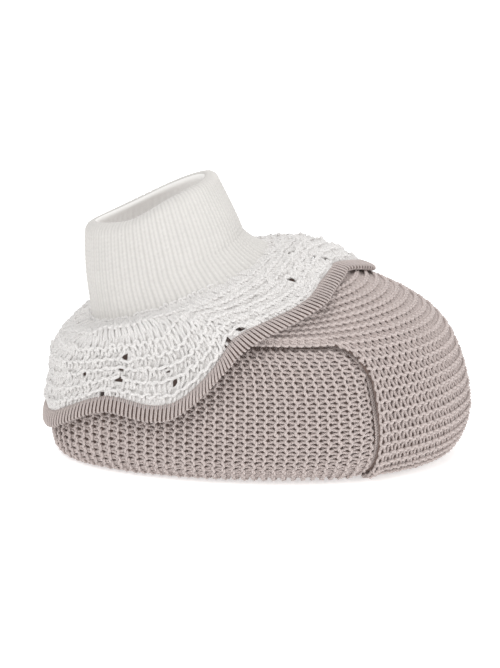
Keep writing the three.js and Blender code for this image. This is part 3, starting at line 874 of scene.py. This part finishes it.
@dataclass
class Quarter(Panel):
    """A side panel, whose ridges stand upright."""

    side: int = 1
    shear: float = 4.5
    lean_height: float = 15.0
    lean_in: float = 18.0
    lean_out: float = 22.0
    edge_roll: float = 0.8
    wing_shadow: float = 2.1
    roll_width: float = 2.2
    heel_roll_width: float = 1.6
    ground_roll: float = 0.9
    first_course: float = 0.75
    wide_courses: float = 2.4
    wide_run: float = 16.0
    top_gap: float = 1.1
    foot_drop: float = 0.5

    def lean(self, far: Array, up: Array) -> Array:
        """How far the courses run forward under the foot, at a distance from the toe."""
        weight = smoothstep(far, CAP_SIDE, CAP_SIDE + self.lean_in)
        weight = weight * (1 - smoothstep(far, LAST.half_girth - self.lean_out, LAST.half_girth))
        return self.shear * weight * np.clip(1 - up / self.lean_height, 0, 1) ** 2

    def sink(self, far: Array, up: Array) -> Array:
        """How far the cloth rolls in towards the cap's seam and the heel's."""
        near = SEAM.distance(far, up)
        deep = self.edge_roll + self.wing_shadow * smoothstep(up, 14, 24)
        heel = np.exp(-(((LAST.half_girth - far) / self.heel_roll_width) ** 2))
        return deep * np.exp(-((near / self.roll_width) ** 2)) + 0.6 * self.edge_roll * heel

    def spread(self, run: Array | float) -> Array | float:
        """Widens the courses a little beside the cap."""
        return CAP_SIDE + self.first_course + run + self.wide_courses * (1 - np.exp(-run / self.wide_run))

    def top(self, far: Array) -> Array:
        """The panel's upper edge: the cap's seam, then the ankle."""
        edge = np.where(far < CAP_WING_END, SEAM.height(far), LAST.length(far) - PANEL_TOP_GAP)
        return edge - self.top_gap

    def ground(self) -> bpy.types.Object:
        """Builds the ground cloth."""
        # The columns stand closer where the cloth rolls in beside the cap.
        beside_cap = CAP_SIDE + 0.4 + np.linspace(0, 1, 12) ** 1.6 * 8
        far = np.concatenate([beside_cap, np.linspace(CAP_SIDE + 9, LAST.half_girth - 0.3, 62)])
        share = np.linspace(0, 1, 30)
        up = PANEL_FOOT + (self.top(far) - PANEL_FOOT)[:, None] * share[None]
        along = np.broadcast_to(far[:, None], up.shape)
        return self.cloth(self.side * along, up, -self.ground_roll * self.sink(along, up))

    def yarn(self) -> list[bpy.types.Object]:
        """Lays the courses from the sole up to the cap's seam, or to well under the ruffle."""
        threads = Threads(self.sides)
        stitch = self.garter
        courses = int((LAST.half_girth - CAP_SIDE - 1.0 - self.wide_courses) / stitch.course)
        for number in range(courses + 1):
            far = float(self.spread(number * stitch.course))
            here = np.array([far])
            top = float(min(self.top(here)[0], under_ruffle(self.side * here, self.hidden_reach)[0]))
            x, y, z = stitch.loops(number, 0, (top - PANEL_FOOT) / stitch.wale)
            up = PANEL_FOOT - self.foot_drop + np.clip(x, 0, None)
            spot = np.clip(self.spread(y), CAP_SIDE + 0.3, LAST.half_girth - 0.2)
            inside = up < self.top(spot)
            up, spot, z = up[inside], spot[inside], z[inside]
            out = self.middle + z - self.sink(spot, up)
            line, normals = LAST.place(self.side * (spot - self.lean(spot, up)), up, out)
            threads.add(line, normals, stitch.radius)
        return [threads.build(f"{self.name}_stitches")]

    def build(self, wardrobe: Wardrobe) -> None:
        ground, yarn = self.ground(), self.yarn()
        self.dress(ground, yarn, wardrobe.taupe_ground, wardrobe.taupe)


@dataclass
class ToeCap(Panel):
    """The front panel, whose ridges run round the toe and whose wings run back over the quarters."""

    puff: float = 0.7
    puff_at: float = 1.3
    puff_width: float = 1.7
    ground_puff: float = 0.6
    seam_gap: float = 0.35
    wing_run: float = 42.0
    hidden_reach: float = 9.0
    shortest: float = 3.0
    foot_rows: int = 18
    wing_rows: int = 24

    def lift(self, along: Array, up: Array) -> Array:
        """How far the cloth stands out beside the seam."""
        near = SEAM.distance(along, up)
        bulge = np.exp(-(((near - self.puff_at) / self.puff_width) ** 2))
        return self.puff * bulge * smoothstep(up, 1.0, 7.0)

    def row_reach(self, up: float) -> float:
        """How far round from the toe a row at this height goes before it meets the seam or the ankle."""
        far = np.linspace(0, CAP_WING_END - 4, 900)
        wing, over_seam = far >= CAP_SIDE - self.seam_gap, SEAM.height(np.maximum(far, CAP_SIDE)) + self.seam_gap
        # A row that runs below the seam's corner stops at the seam's upright part.
        closed = (far < CAP_SIDE) & (SEAM.up[0] + self.seam_gap >= up)
        foot = np.where(wing, np.where(closed, np.inf, over_seam), 0)
        top = under_ruffle(far, self.hidden_reach)
        good = (foot <= up) & (up <= top)
        stop = np.argmax(~good) if not good.all() else len(far) - 1
        return float(far[max(stop - 1, 0)])

    def ground(self) -> bpy.types.Object:
        """Builds the ground cloth: the front, and the two wings behind the corner."""
        wing = CAP_SIDE - self.seam_gap + np.concatenate([[0], np.linspace(0.04, 1, 14) ** 1.5 * self.wing_run])
        front = np.linspace(-1, 1, 61)[1:-1] * wing[0]
        along = np.concatenate([-wing[::-1], front, wing])
        far = np.abs(along)
        middle = np.where(far > wing[0], SEAM.height(far) + self.seam_gap, SEAM.up[0] + 0.2)
        top = LAST.length(along) - PANEL_TOP_GAP
        low, high = np.linspace(0, 1, self.foot_rows + 1), np.linspace(0, 1, self.wing_rows + 1)[1:]
        lower = PANEL_FOOT + (middle - PANEL_FOOT)[:, None] * low[None]
        upper = middle[:, None] + (top - middle)[:, None] * high[None]
        up = np.concatenate([lower, upper], axis=1)
        grid = np.broadcast_to(along[:, None], up.shape)
        in_front = np.abs(along[:-1] + along[1:]) / 2 < wing[0]
        cells = in_front[:, None] | (np.arange(up.shape[1] - 1) >= self.foot_rows)[None]
        return self.cloth(grid, up, self.ground_puff * self.lift(grid, up), cells)

    def yarn(self) -> list[bpy.types.Object]:
        """Lays the rows from the sole up over the vamp, in three bands."""
        stitch = self.garter
        start = PANEL_FOOT + 0.2
        tip = float(under_ruffle(np.array([0.0]), self.hidden_reach)[0])
        rows = int((tip - start) / stitch.course)
        bands = (("low", 0, rows // 3), ("middle", rows // 3, 2 * rows // 3), ("high", 2 * rows // 3, rows + 1))
        pieces = []
        for band, first, last in bands:
            threads = Threads(self.sides)
            for number in range(first, last):
                reach = self.row_reach(start + number * stitch.course)
                if reach < self.shortest:
                    continue
                x, y, z = stitch.row(number, reach)
                up = start + y
                line, normals = LAST.place(x, up, self.middle + z + self.lift(x, up))
                threads.add(line, normals, stitch.radius)
            pieces.append(threads.build(f"{self.name}_stitches_{band}"))
        return pieces

    def build(self, wardrobe: Wardrobe) -> None:
        ground, yarn = self.ground(), self.yarn()
        self.dress(ground, yarn, wardrobe.taupe_ground, wardrobe.taupe)


@dataclass
class Sole(Panel):
    """The flat sole, ridged across."""

    heel_gap: float = 7.4
    toe_gap: float = 10.9
    seam_gap: float = 0.85
    back_height: float = 1.25
    face_height: float = 2.3
    yarn_height: float = 1.12
    shortest: float = 2.0
    columns: int = 60
    rows: int = 25

    def outline(self, x: Array) -> Array:
        """The sole's half width at a distance from the middle."""
        line = RINGS[0].points(np.linspace(0, math.pi, 400))
        return np.interp(x, line[::-1, 0], line[::-1, 1]) - self.seam_gap

    def ground(self, back: float, front: float) -> bpy.types.Object:
        """Builds the ground cloth between the two ends, with its columns and rows closer at its edge."""
        quarter_turn = math.pi / 2
        x = (front + back) / 2 + (front - back) / 2 * np.sin(np.linspace(-quarter_turn, quarter_turn, self.columns))
        half = np.maximum(self.outline(x), 0.3)
        across = np.sin(np.linspace(-quarter_turn, quarter_turn, self.rows))
        faces = []
        for height, wider in ((self.back_height, 0.0), (self.face_height, 0.5)):
            y = (half[:, None] + wider) * across[None]
            faces.append(np.stack([np.broadcast_to(x[:, None], y.shape), y, np.full(y.shape, height)], -1))
        return closed_cloth(f"{self.name}_ground", *faces)

    def build(self, wardrobe: Wardrobe) -> None:
        back, front = -SHOE_LENGTH / 2 + self.heel_gap, SHOE_LENGTH / 2 - self.toe_gap
        ground = self.ground(back, front)
        threads = Threads(5)
        stitch = self.garter
        for number in range(1, int((front - back) / stitch.course)):
            reach = float(self.outline(np.array([back + number * stitch.course]))[0])
            if reach < self.shortest:
                continue
            u, v, w = stitch.row(number, reach)
            line = np.stack([back + v, u, self.yarn_height - w], -1)
            threads.add(line, np.tile(DOWN, (len(u), 1)), stitch.radius)
        yarn = [threads.build(f"{self.name}_stitches")]
        self.dress(ground, yarn, wardrobe.taupe_ground, wardrobe.taupe)


# ---- seams -----------------------------------------------------------------------------------------------


@dataclass
class LinkedSeam:
    """A chain of small loops along a line, as a linking machine leaves it."""

    name: str
    radius: float = 0.27
    swing: float = 0.38
    rise: float = 0.2
    pitch: float = 1.4

    def chain(self, line: Array, normals: Array, closed: bool) -> Threads:
        """Two strands that weave past each other along a line.

        Args:
            line: points of the seam, in millimetres.
            normals: outward directions along it.
            closed: whether it runs round.

        Returns:
            The threads.
        """
        run = np.concatenate([[0], np.cumsum(np.linalg.norm(np.diff(line, axis=0), axis=1))])
        waves = max(2, round(run[-1] / self.pitch))
        s = np.linspace(0, waves, waves * 9, endpoint=not closed)
        spots, outward = (
            np.stack([np.interp(s / waves * run[-1], run, values[:, k]) for k in range(3)], -1)
            for values in (line, normals)
        )
        outward = unit(outward)
        across = unit(np.cross(unit(np.gradient(spots, axis=0)), outward))
        threads = Threads(6)
        for phase in (0.0, 0.5):
            turn = 2 * math.pi * (s + phase)
            offset = across * (self.swing * np.sin(turn))[:, None]
            offset = offset + outward * (self.rise * np.cos(turn + 1.3))[:, None]
            threads.add(spots + offset, outward, self.radius, closed)
        return threads

    def build(self, wardrobe: Wardrobe, line: Array, normals: Array, closed: bool, white: bool = False) -> None:
        """Builds and dresses the seam."""
        piece = self.chain(line, normals, closed).build(f"{self.name}_links")
        dress(piece, wardrobe.lace if white else wardrobe.taupe_edge)
        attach(piece, "shoe")
        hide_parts(self.name)
        report(piece)


def build_seams(wardrobe: Wardrobe) -> None:
    """Builds every linked seam of the shoe."""
    for name, side in (("left", 1), ("right", -1)):
        shown = SEAM.line[:, 0] < CAP_WING_END - CAP_WING_RISE
        far, up = SEAM.line[shown, 0], SEAM.line[shown, 1]
        # The chain lies deeper along the wing, in the shade of its edge.
        line, normals = LAST.place(side * far, up - 0.2, -1.75 - 1.1 * smoothstep(up, 20, 30))
        LinkedSeam(f"toe_cap_seam_{name}").build(wardrobe, line, normals, False)
    up = np.linspace(PANEL_FOOT, LAST.length(np.array([LAST.half_girth]))[0] - PANEL_TOP_GAP, 60)
    line, normals = LAST.place(np.full(len(up), LAST.half_girth), up, -1.1)
    LinkedSeam("heel_seam").build(wardrobe, line, normals, False)
    angle = np.linspace(-math.pi, math.pi, 240, endpoint=False)
    line = RINGS[0].points(angle)
    line[:, 2] = SOLE_KNIT / 2
    LinkedSeam("sole_seam", pitch=1.6).build(wardrobe, line, np.tile(DOWN, (len(angle), 1)), True)
    line = ankle_line(angle, 0.4, -0.15)
    LinkedSeam("ankle_seam").build(wardrobe, line, np.tile(ANKLE_OUT, (len(angle), 1)), True, white=True)


# ---- the ruffle ------------------------------------------------------------------------------------------


@dataclass
class Ruffle(Panel):
    """The turned-down collar: garter stitch opened by eyelets, hanging over the shoe."""

    rows: int = 14
    round_stitches: int = 114
    root_run: float = 0.16
    front_puff: float = 2.2
    front_tuck: float = 1.0
    back_puff: float = 1.5
    back_tuck: float = 1.7
    yarn_lift: float = 0.62
    row_shift: float = 0.45
    eyelets: list[tuple[float, float, float]] = field(default_factory=list)

    def place(self, angle: Array, share: Array, lift: Array | float) -> tuple[Array, Array]:
        """Points of the ruffle.

        Args:
            angle: angles round the foot.
            share: 0 at the root and 1 at the hem's edge.
            lift: distances above its underside.

        Returns:
            The points and outward directions, in millimetres.
        """
        along = LAST.along_at(angle)
        length = LAST.length(along)
        front = smoothstep(np.cos(angle), 0.55, 0.95)
        flare = RUFFLE_FLARE * (1 + 0.5 * np.cos(RUFFLE_WAVES * angle)) * (1 - (1 - FRONT_FLARE) * front)
        back = smoothstep(-np.cos(angle), 0.55, 0.95)
        bulge, tuck = np.sin(math.pi * np.clip(share / 0.8, 0, 1)), smoothstep(share, 0.6, 1.0)
        shoulder, slack = np.sin(math.pi * np.clip(share / 0.55, 0, 1)), smoothstep(share, 0.35, 0.9)
        puff = front * (self.front_puff * bulge - self.front_tuck * tuck)
        puff = puff + back * (self.back_puff * shoulder - self.back_tuck * slack)
        stand = RUFFLE_LIFT + (FRONT_LIFT - RUFFLE_LIFT) * front + flare * share**2 + puff + lift
        over, normals = LAST.place(along, length - ruffle_drop(angle) * share, stand)
        root = ankle_line(angle, -0.4, 1.1 + np.asarray(lift))
        mix = smoothstep(share, 0, self.root_run)[..., None]
        outward = unit(np.broadcast_to(ANKLE_OUT, normals.shape) * (1 - mix) + normals * mix)
        return root * (1 - mix) + over * mix, outward

    def hem_share(self, angle: Array) -> Array:
        """Where the lace ends, a little way into its edge, as a share of the drop."""
        return 1 - (BORDER_WIDTH - 0.9) / ruffle_drop(angle)

    def open(self, u: Array, v: Array) -> tuple[Array, Array]:
        """Pushes the cloth away from each eyelet.

        Args:
            u: distances round, in stitches.
            v: distances down, in rows.

        Returns:
            The same, moved.
        """
        for cu, cv, size in self.eyelets:
            du = (u - cu + self.round_stitches / 2) % self.round_stitches - self.round_stitches / 2
            dv = v - cv
            far = np.sqrt(du**2 + dv**2) + 1e-6
            moved = np.sqrt(far**2 + size**2 * np.exp(-((far / (1.7 * size)) ** 2)))
            u, v = u + du * (moved / far - 1), v + dv * (moved / far - 1)
        return u, v

    def map(self, u: Array, v: Array, lift: Array | float) -> tuple[Array, Array]:
        """Points of the ruffle by stitch and row."""
        u, v = self.open(u, v)
        angle = 2 * math.pi * u / self.round_stitches
        share = np.clip(v / self.rows, 0, 1) * self.hem_share(angle)
        return self.place(angle, share, lift)

    def ground(self) -> bpy.types.Object:
        """Builds the ground cloth, with a hole in each eyelet."""
        columns, rows = self.round_stitches * 2, self.rows * 2
        u = np.arange(columns)[:, None] * 0.5 + np.zeros((1, rows + 1))
        v = np.arange(rows + 1)[None] * 0.5 + np.zeros((columns, 1))
        keep = np.ones((columns, rows), bool)
        for cu, cv, _ in self.eyelets:
            keep[int(round(cu * 2 - 0.5)) % columns, int(round(cv * 2 - 0.5))] = False
        # The cloth's depths are heights above the ruffle's underside here.
        faces = [self.map(u, v, lift)[0] for lift in (self.ground_face, self.ground_back)]
        return closed_cloth(f"{self.name}_ground", *faces, goes_round=True, keep=keep)

    def yarn(self) -> list[bpy.types.Object]:
        """Lays the rows right round, in two halves."""
        stitch, pieces = self.garter, []
        for half, name in ((-0.5, "right"), (0.0, "left")):
            threads = Threads(self.sides)
            start = half * self.round_stitches
            for number in range(1, self.rows):
                s, y, z = stitch.loops(number, start, start + self.round_stitches / 2)
                u, v = s / stitch.wale, y / stitch.course - self.row_shift
                line, normals = self.map(u, v, self.yarn_lift + z)
                threads.add(line, normals, stitch.radius)
            pieces.append(threads.build(f"{self.name}_stitches_{name}"))
        return pieces

    def build(self, wardrobe: Wardrobe) -> None:
        ground, yarn = self.ground(), self.yarn()
        self.dress(ground, yarn, wardrobe.lace_ground, wardrobe.lace)


# The eyelets of one side: degrees round from the toe, share of the way down, and radius in stitches.
EYELETS = (
    (15, 0.36, 1.15),
    (14, 0.68, 1.00),
    (11, 0.84, 0.85),
    (41, 0.62, 0.85),
    (86, 0.89, 0.94),
    (92, 0.91, 0.94),
    (112, 0.76, 0.53),
    (114, 0.64, 0.42),
    (115, 0.58, 0.42),
    (128, 0.44, 0.79),
    (130, 0.59, 0.49),
    (130, 0.75, 0.85),
    (133, 0.64, 0.38),
    (137, 0.90, 0.75),
    (131, 0.89, 0.53),
    (146, 0.59, 0.53),
    (166, 0.77, 0.66),
    (170, 0.55, 0.53),
)


def lace_eyelets(stitches: int, rows: int) -> list[tuple[float, float, float]]:
    """The eyelets of both sides, as stitches round, rows down and radius in stitches.

    Args:
        stitches: the stitches in a full round.
        rows: the rows from root to edge.

    Returns:
        One entry for each eyelet.
    """
    return [
        (side * degrees / 360 * stitches, share * rows, size) for side in (-1, 1) for degrees, share, size in EYELETS
    ]


@dataclass
class Border:
    """The ruffle's edge: yarn wound across it, two turns to each rib, over a core."""

    ruffle: Ruffle
    turn_pitch: float = 0.56
    per_turn: int = 14
    radius: float = 0.19
    pairing: float = 0.3
    widening: float = 0.25
    half_height: float = 0.72
    core_lift: float = 0.6
    core_radius: float = 0.28
    core_lines: tuple[float, ...] = (0.8, 1.35, 1.9, 2.45, 3.0)

    def at(self, angle: Array, inwards: Array | float, lift: Array | float) -> tuple[Array, Array]:
        """Points of the edge and their outward directions, at a distance in from its outermost line."""
        return self.ruffle.place(angle, 1 - inwards / ruffle_drop(angle), lift)

    def section(self, turn: Array) -> tuple[Array, Array]:
        """The wound path round the edge.

        Args:
            turn: turns of the winding, one for each time across and back.

        Returns:
            Distances in from the edge's outermost line, and heights above the ruffle's underside.
        """
        c, s = np.cos(2 * math.pi * turn), np.sin(2 * math.pi * turn)
        across = (BORDER_WIDTH / 2 + self.widening - self.radius) * (1 + np.sign(c) * np.abs(c) ** 0.7)
        height = RUFFLE_KNIT / 2 + self.half_height * np.sign(s) * np.abs(s) ** 0.8
        return across + self.radius, height

    def winding(self) -> bpy.types.Object:
        """Winds the yarn across the edge, all the way round."""
        angle = np.linspace(-math.pi, math.pi, 1200, endpoint=False)
        hem, _ = self.at(angle, 0.0, self.core_lift)
        step = np.linalg.norm(np.roll(hem, -1, axis=0) - hem, axis=1)
        girth = float(step.sum())
        turns = int(round(girth / self.turn_pitch / 2)) * 2
        t = np.arange(turns * self.per_turn) / self.per_turn
        # Turns lie closer in pairs, so that each pair makes one rib.
        paired = t + self.pairing * np.sin(math.pi * t)
        run = np.concatenate([[0], np.cumsum(step)])
        spot = np.interp(paired % turns / turns * girth, run, np.append(angle, math.pi))
        line, _ = self.at(spot, *self.section(t))
        middle, _ = self.at(spot, BORDER_WIDTH / 2, RUFFLE_KNIT / 2)
        threads = Threads(6)
        threads.add(line, unit(line - middle), self.radius, closed=True)
        return threads.build("ruffle_edge")

    def core(self) -> bpy.types.Object:
        """Lays the yarns that fill the winding."""
        threads = Threads(8)
        angle = np.linspace(-math.pi, math.pi, 500, endpoint=False)
        for inwards in self.core_lines:
            threads.add(*self.at(angle, inwards, self.core_lift), self.core_radius, closed=True)
        return threads.build("ruffle_edge_core")

    def build(self, wardrobe: Wardrobe) -> None:
        """Builds and dresses the edge."""
        edge, inside = self.winding(), self.core()
        dress(edge, wardrobe.taupe_edge)
        # The core yarns take the ground's painted shade colour and painted glow.
        dress(inside, wardrobe.taupe_ground)
        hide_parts("ruffle_border")
        for piece in (edge, inside):
            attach(piece, "shoe")
            report(piece)


# ---- the cuff --------------------------------------------------------------------------------------------


@dataclass
class Cuff:
    """The doubled rib: a ribbed outer layer with a soft fold, and a lining that comes down inside it."""

    ribs: int = 52
    per_rib: int = 9
    per_lining_rib: int = 5
    stitch: float = 1.05
    rib_depth: float = 0.3
    stitch_depth: float = 0.1
    crease_depth: float = 0.2
    foot: float = -0.3
    layer: float = 1.0
    fold: float = 1.75
    fold_turn: float = 0.68 * math.pi
    lining_turn: float = 0.684 * math.pi
    lining_foot: float = 6.5
    top_share: float = 0.77
    top_forward: float = 3.0
    top_narrower: float = 1.2
    flare_height: float = 7.0
    near_sag: float = 2.4
    far_sag: float = 1.5

    def above_ball(self, out: Array) -> Array:
        """How far up the straight part a height is, from 0 to 1."""
        return np.clip((out - CUFF_BALL_TOP) / (CUFF_ABOVE - CUFF_BALL_TOP), 0, 1)

    def share(self, out: Array) -> Array:
        """The cuff's size at a height above the ankle line, as a share of its size there."""
        ball = np.sqrt(np.maximum(1 - (out / CUFF_LONG) ** 2, 0.05))
        ball_top = math.sqrt(1 - (CUFF_BALL_TOP / CUFF_LONG) ** 2)
        cone = ball_top + (self.top_share - ball_top) * self.above_ball(out) ** 1.3
        return np.where(out <= CUFF_BALL_TOP, ball, cone)

    def points(self, angle: Array, out: Array, depth: Array) -> Array:
        """Points of the cuff, with its flare and its soft unevenness.

        Args:
            angle: angles round the cuff.
            out: heights above the ankle line.
            depth: depths in from its outside.

        Returns:
            The points, in the shape's own millimetres.
        """
        up = self.above_ball(out)
        front = (1 + np.cos(angle)) / 2
        foot = np.clip(1 - (out - self.foot) / self.flare_height, 0, 1)
        flare = (1.3 + 1.9 * front**2) * foot**2
        slump = 0.35 * np.sin(2 * angle + 0.6) * up + 0.25 * np.sin(3 * angle + 2.0 + out * 0.12)
        size = self.share(out)
        reach = flare + slump - depth
        rim = 0.5 * np.sin(angle * 2 - 0.8) - 0.4 * np.sin(angle)
        rim = rim - self.far_sag * np.maximum(np.sin(angle), 0) ** 1.5
        rim = up**3 * (rim - self.near_sag * np.exp(-(((angle + 1.95) / 0.62) ** 2)))
        return ankle_point(
            self.top_forward * up + (CUFF_LONG * size + reach) * np.cos(angle),
            (CUFF_WIDE * size - self.top_narrower * up + reach) * np.sin(angle),
            out + rim + 1.3 * front**2 * foot * np.exp(-depth),
        )

    def relief(self, across: Array, row: Array, strength: Array) -> tuple[Array, Array]:
        """The rib and its stitches.

        Args:
            across: distances round, in ribs.
            row: distances up, in stitches.
            strength: how pronounced it is.

        Returns:
            Heights above the cloth's own surface, and how far each point is into a furrow or crease, from 0 to 1,
            which the finish darkens as painted shade.
        """
        u = across - np.round(across)
        furrow = np.exp(-(((np.abs(u) - 0.5) / 0.11) ** 2))
        crease = np.exp(-((u / 0.1) ** 2))
        legs = np.cos(2 * math.pi * (row - 1.1 * np.abs(u))) * (1 - furrow)
        height = self.stitch_depth * legs - self.rib_depth * furrow - self.crease_depth * crease
        return height * strength, np.clip(furrow + 0.75 * crease, 0, 1) * strength

    def outer_layer(self) -> bpy.types.Object:
        """Builds the outer layer from its foot to just inside the fold, with the stitches in its mesh."""
        angle = np.linspace(-math.pi, math.pi, self.ribs * self.per_rib, endpoint=False)
        fold_foot = CUFF_ABOVE - self.fold
        straight = np.arange(self.foot, fold_foot, self.stitch / 4)
        turn = np.linspace(0, self.fold_turn, 10)[1:]
        depth = np.concatenate([np.zeros(len(straight)), self.fold * (1 - np.cos(turn))])
        travelled = np.concatenate([straight, fold_foot + self.fold * turn])
        heights = np.concatenate([straight, fold_foot + self.fold * np.sin(turn)])
        angle, out = np.meshgrid(angle, heights, indexing="ij")
        height, furrow = self.relief(
            angle * self.ribs / (2 * math.pi),
            np.broadcast_to(travelled / self.stitch, out.shape),
            np.broadcast_to(np.interp(travelled, [0, 3, 20, 30], [1, 1, 0.85, 0.6]), out.shape),
        )
        base = self.points(angle, out, np.broadcast_to(depth, out.shape))
        normals = unit(np.cross(np.roll(base, -1, 0) - np.roll(base, 1, 0), np.gradient(base, axis=1)))
        outer = base + normals * height[..., None]
        cloth = closed_cloth("cuff_rib", outer, base - normals * self.layer, goes_round=True)
        # The furrow mark is where the finish paints shade.
        mark_points(cloth, "PaintedFurrowShade", np.concatenate([furrow.ravel(), np.zeros(furrow.size)]))
        return cloth

    def lining(self) -> bpy.types.Object:
        """Builds the lining, from the fold down to below the ankle line."""
        angle = np.linspace(-math.pi, math.pi, self.ribs * self.per_lining_rib, endpoint=False)
        fold_foot = CUFF_ABOVE - self.fold
        turn = np.append(np.linspace(self.lining_turn, math.pi, 6), np.full(42, math.pi))
        down = np.append(np.zeros(6), np.linspace(0.4, fold_foot + self.lining_foot, 42))
        faces = []
        for radius, rib in ((self.fold, self.rib_depth * 0.4), (self.fold - self.layer, 0.0)):
            round_angle, out = np.meshgrid(angle, fold_foot + radius * np.sin(turn) - down, indexing="ij")
            ribbed = rib * (np.cos(round_angle * self.ribs) - 0.8) * smoothstep(down, 0, 2)
            faces.append(self.points(round_angle, out, self.fold - radius * np.cos(turn) + ribbed))
        return closed_cloth("cuff_lining", *faces, goes_round=True)

    def build(self, wardrobe: Wardrobe) -> None:
        """Builds, dresses and logs both layers, and hides the cuff's solid."""
        layer, lining = self.outer_layer(), self.lining()
        for piece, finish in ((layer, wardrobe.rib), (lining, wardrobe.rib_inside_painted_light)):
            dress(piece, finish)
            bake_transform(piece)
            report(piece)
        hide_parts("cuff")


# ---- the studio ------------------------------------------------------------------------------------------


@dataclass(frozen=True)
class Lamp:
    """One soft square lamp, in metres and watts."""

    name: str
    place: tuple[float, float, float]
    size: float
    power: float


class Studio:
    """A white floor, soft light from all round, and the camera."""

    DISTANCE = 0.6
    ELEVATION = math.radians(20)
    LONG_SIDE = 0.167
    SENSOR = 36.0
    TARGET = Vector((CENTRING * MM - 0.00275, 0, 0.02))
    RAISED = 0.0097
    LIT_FROM_ALL_ROUND = 0.52
    LAMPS = (
        Lamp("key", (-0.35, -0.75, 0.95), 0.7, 6.4),
        Lamp("fill", (0.85, -0.5, 0.5), 0.8, 3.7),
        Lamp("top", (0.1, 0.4, 1.1), 0.9, 2.4),
        Lamp("back", (0.2, 0.95, 0.6), 0.8, 2.6),
    )

    def place(self, thing: bpy.types.Object, spot: Vector, away: Vector) -> None:
        """Puts a lamp or a camera at a spot, looking against a direction."""
        bpy.context.scene.collection.objects.link(thing)
        thing.location = spot
        thing.rotation_mode = "QUATERNION"
        thing.rotation_quaternion = away.to_track_quat("Z", "Y")

    def floor(self) -> None:
        """Lays a pale floor under the bootie."""
        bpy.ops.object.select_all(action="DESELECT")
        bpy.ops.mesh.primitive_plane_add(size=4.0, location=(0, 0, 0))
        floor = bpy.context.active_object
        floor.name = "floor"
        made, n, shader = new_material("white sweep")
        n.set(shader, Base_Color=(*Shade.FLOOR.value, 1.0), Roughness=0.9)
        n.set(shader, Emission_Color=(1, 1, 1, 1), Emission_Strength=0.45)
        floor.data.materials.append(made)

    def light(self) -> None:
        """Hangs the lamps, all turned to the bootie, in a white world."""
        world = bpy.data.worlds.new("studio")
        world.use_nodes = True
        background = world.node_tree.nodes["Background"]
        background.inputs["Color"].default_value = (1, 1, 1, 1)
        background.inputs["Strength"].default_value = self.LIT_FROM_ALL_ROUND
        bpy.context.scene.world = world
        for lamp in self.LAMPS:
            data = bpy.data.lights.new(lamp.name, "AREA")
            data.size, data.energy = lamp.size, lamp.power
            spot = Vector(lamp.place)
            self.place(bpy.data.objects.new(lamp.name, data), spot, spot - Vector((0, 0, 0.03)))

    def camera(self) -> None:
        """Sets the camera a little above and square to the bootie's right side."""
        data = bpy.data.cameras.new("camera")
        data.sensor_width = self.SENSOR
        data.lens = self.SENSOR * self.DISTANCE / self.LONG_SIDE
        data.clip_start, data.clip_end = 0.01, 10.0
        camera = bpy.data.objects.new("camera", data)
        away = Vector((0, -math.cos(self.ELEVATION), math.sin(self.ELEVATION)))
        upwards = Vector((0, math.sin(self.ELEVATION), math.cos(self.ELEVATION)))
        self.place(camera, self.TARGET + upwards * self.RAISED + away * self.DISTANCE, away)
        bpy.context.scene.camera = camera

    def build(self) -> None:
        """Builds the studio."""
        bpy.context.scene.view_settings.view_transform = "Standard"
        self.floor()
        self.light()
        self.camera()


def main() -> None:
    """Builds every piece of the bootie in order, and then the studio."""
    logging.basicConfig(level=logging.INFO, format="%(name)s %(message)s")
    wardrobe = Wardrobe()
    Sole("sole", "taupe_knit", Garter(course=1.35, points=11, ridge=0.2, depth=0.28)).build(wardrobe)
    for name, side in (("left", 1), ("right", -1)):
        Quarter(f"quarter_{name}", "taupe_knit", Garter(seed=3 + side), side=side).build(wardrobe)
    ToeCap("toe_cap", "taupe_knit", Garter(course=1.35, ridge=0.52, radius=0.365)).build(wardrobe)
    build_seams(wardrobe)
    ruffle = Ruffle(
        "ruffle",
        "white_lace",
        Garter(course=1.4, wale=1.6, radius=0.46, depth=0.26, ridge=0.42, points=13, jitter=0.17),
        ground_face=0.42,
        ground_back=0.05,
        sides=5,
    )
    ruffle.eyelets = lace_eyelets(ruffle.round_stitches, ruffle.rows)
    Border(ruffle).build(wardrobe)
    ruffle.build(wardrobe)
    Cuff().build(wardrobe)
    Studio().build()


if __name__ == "__main__":
    main()
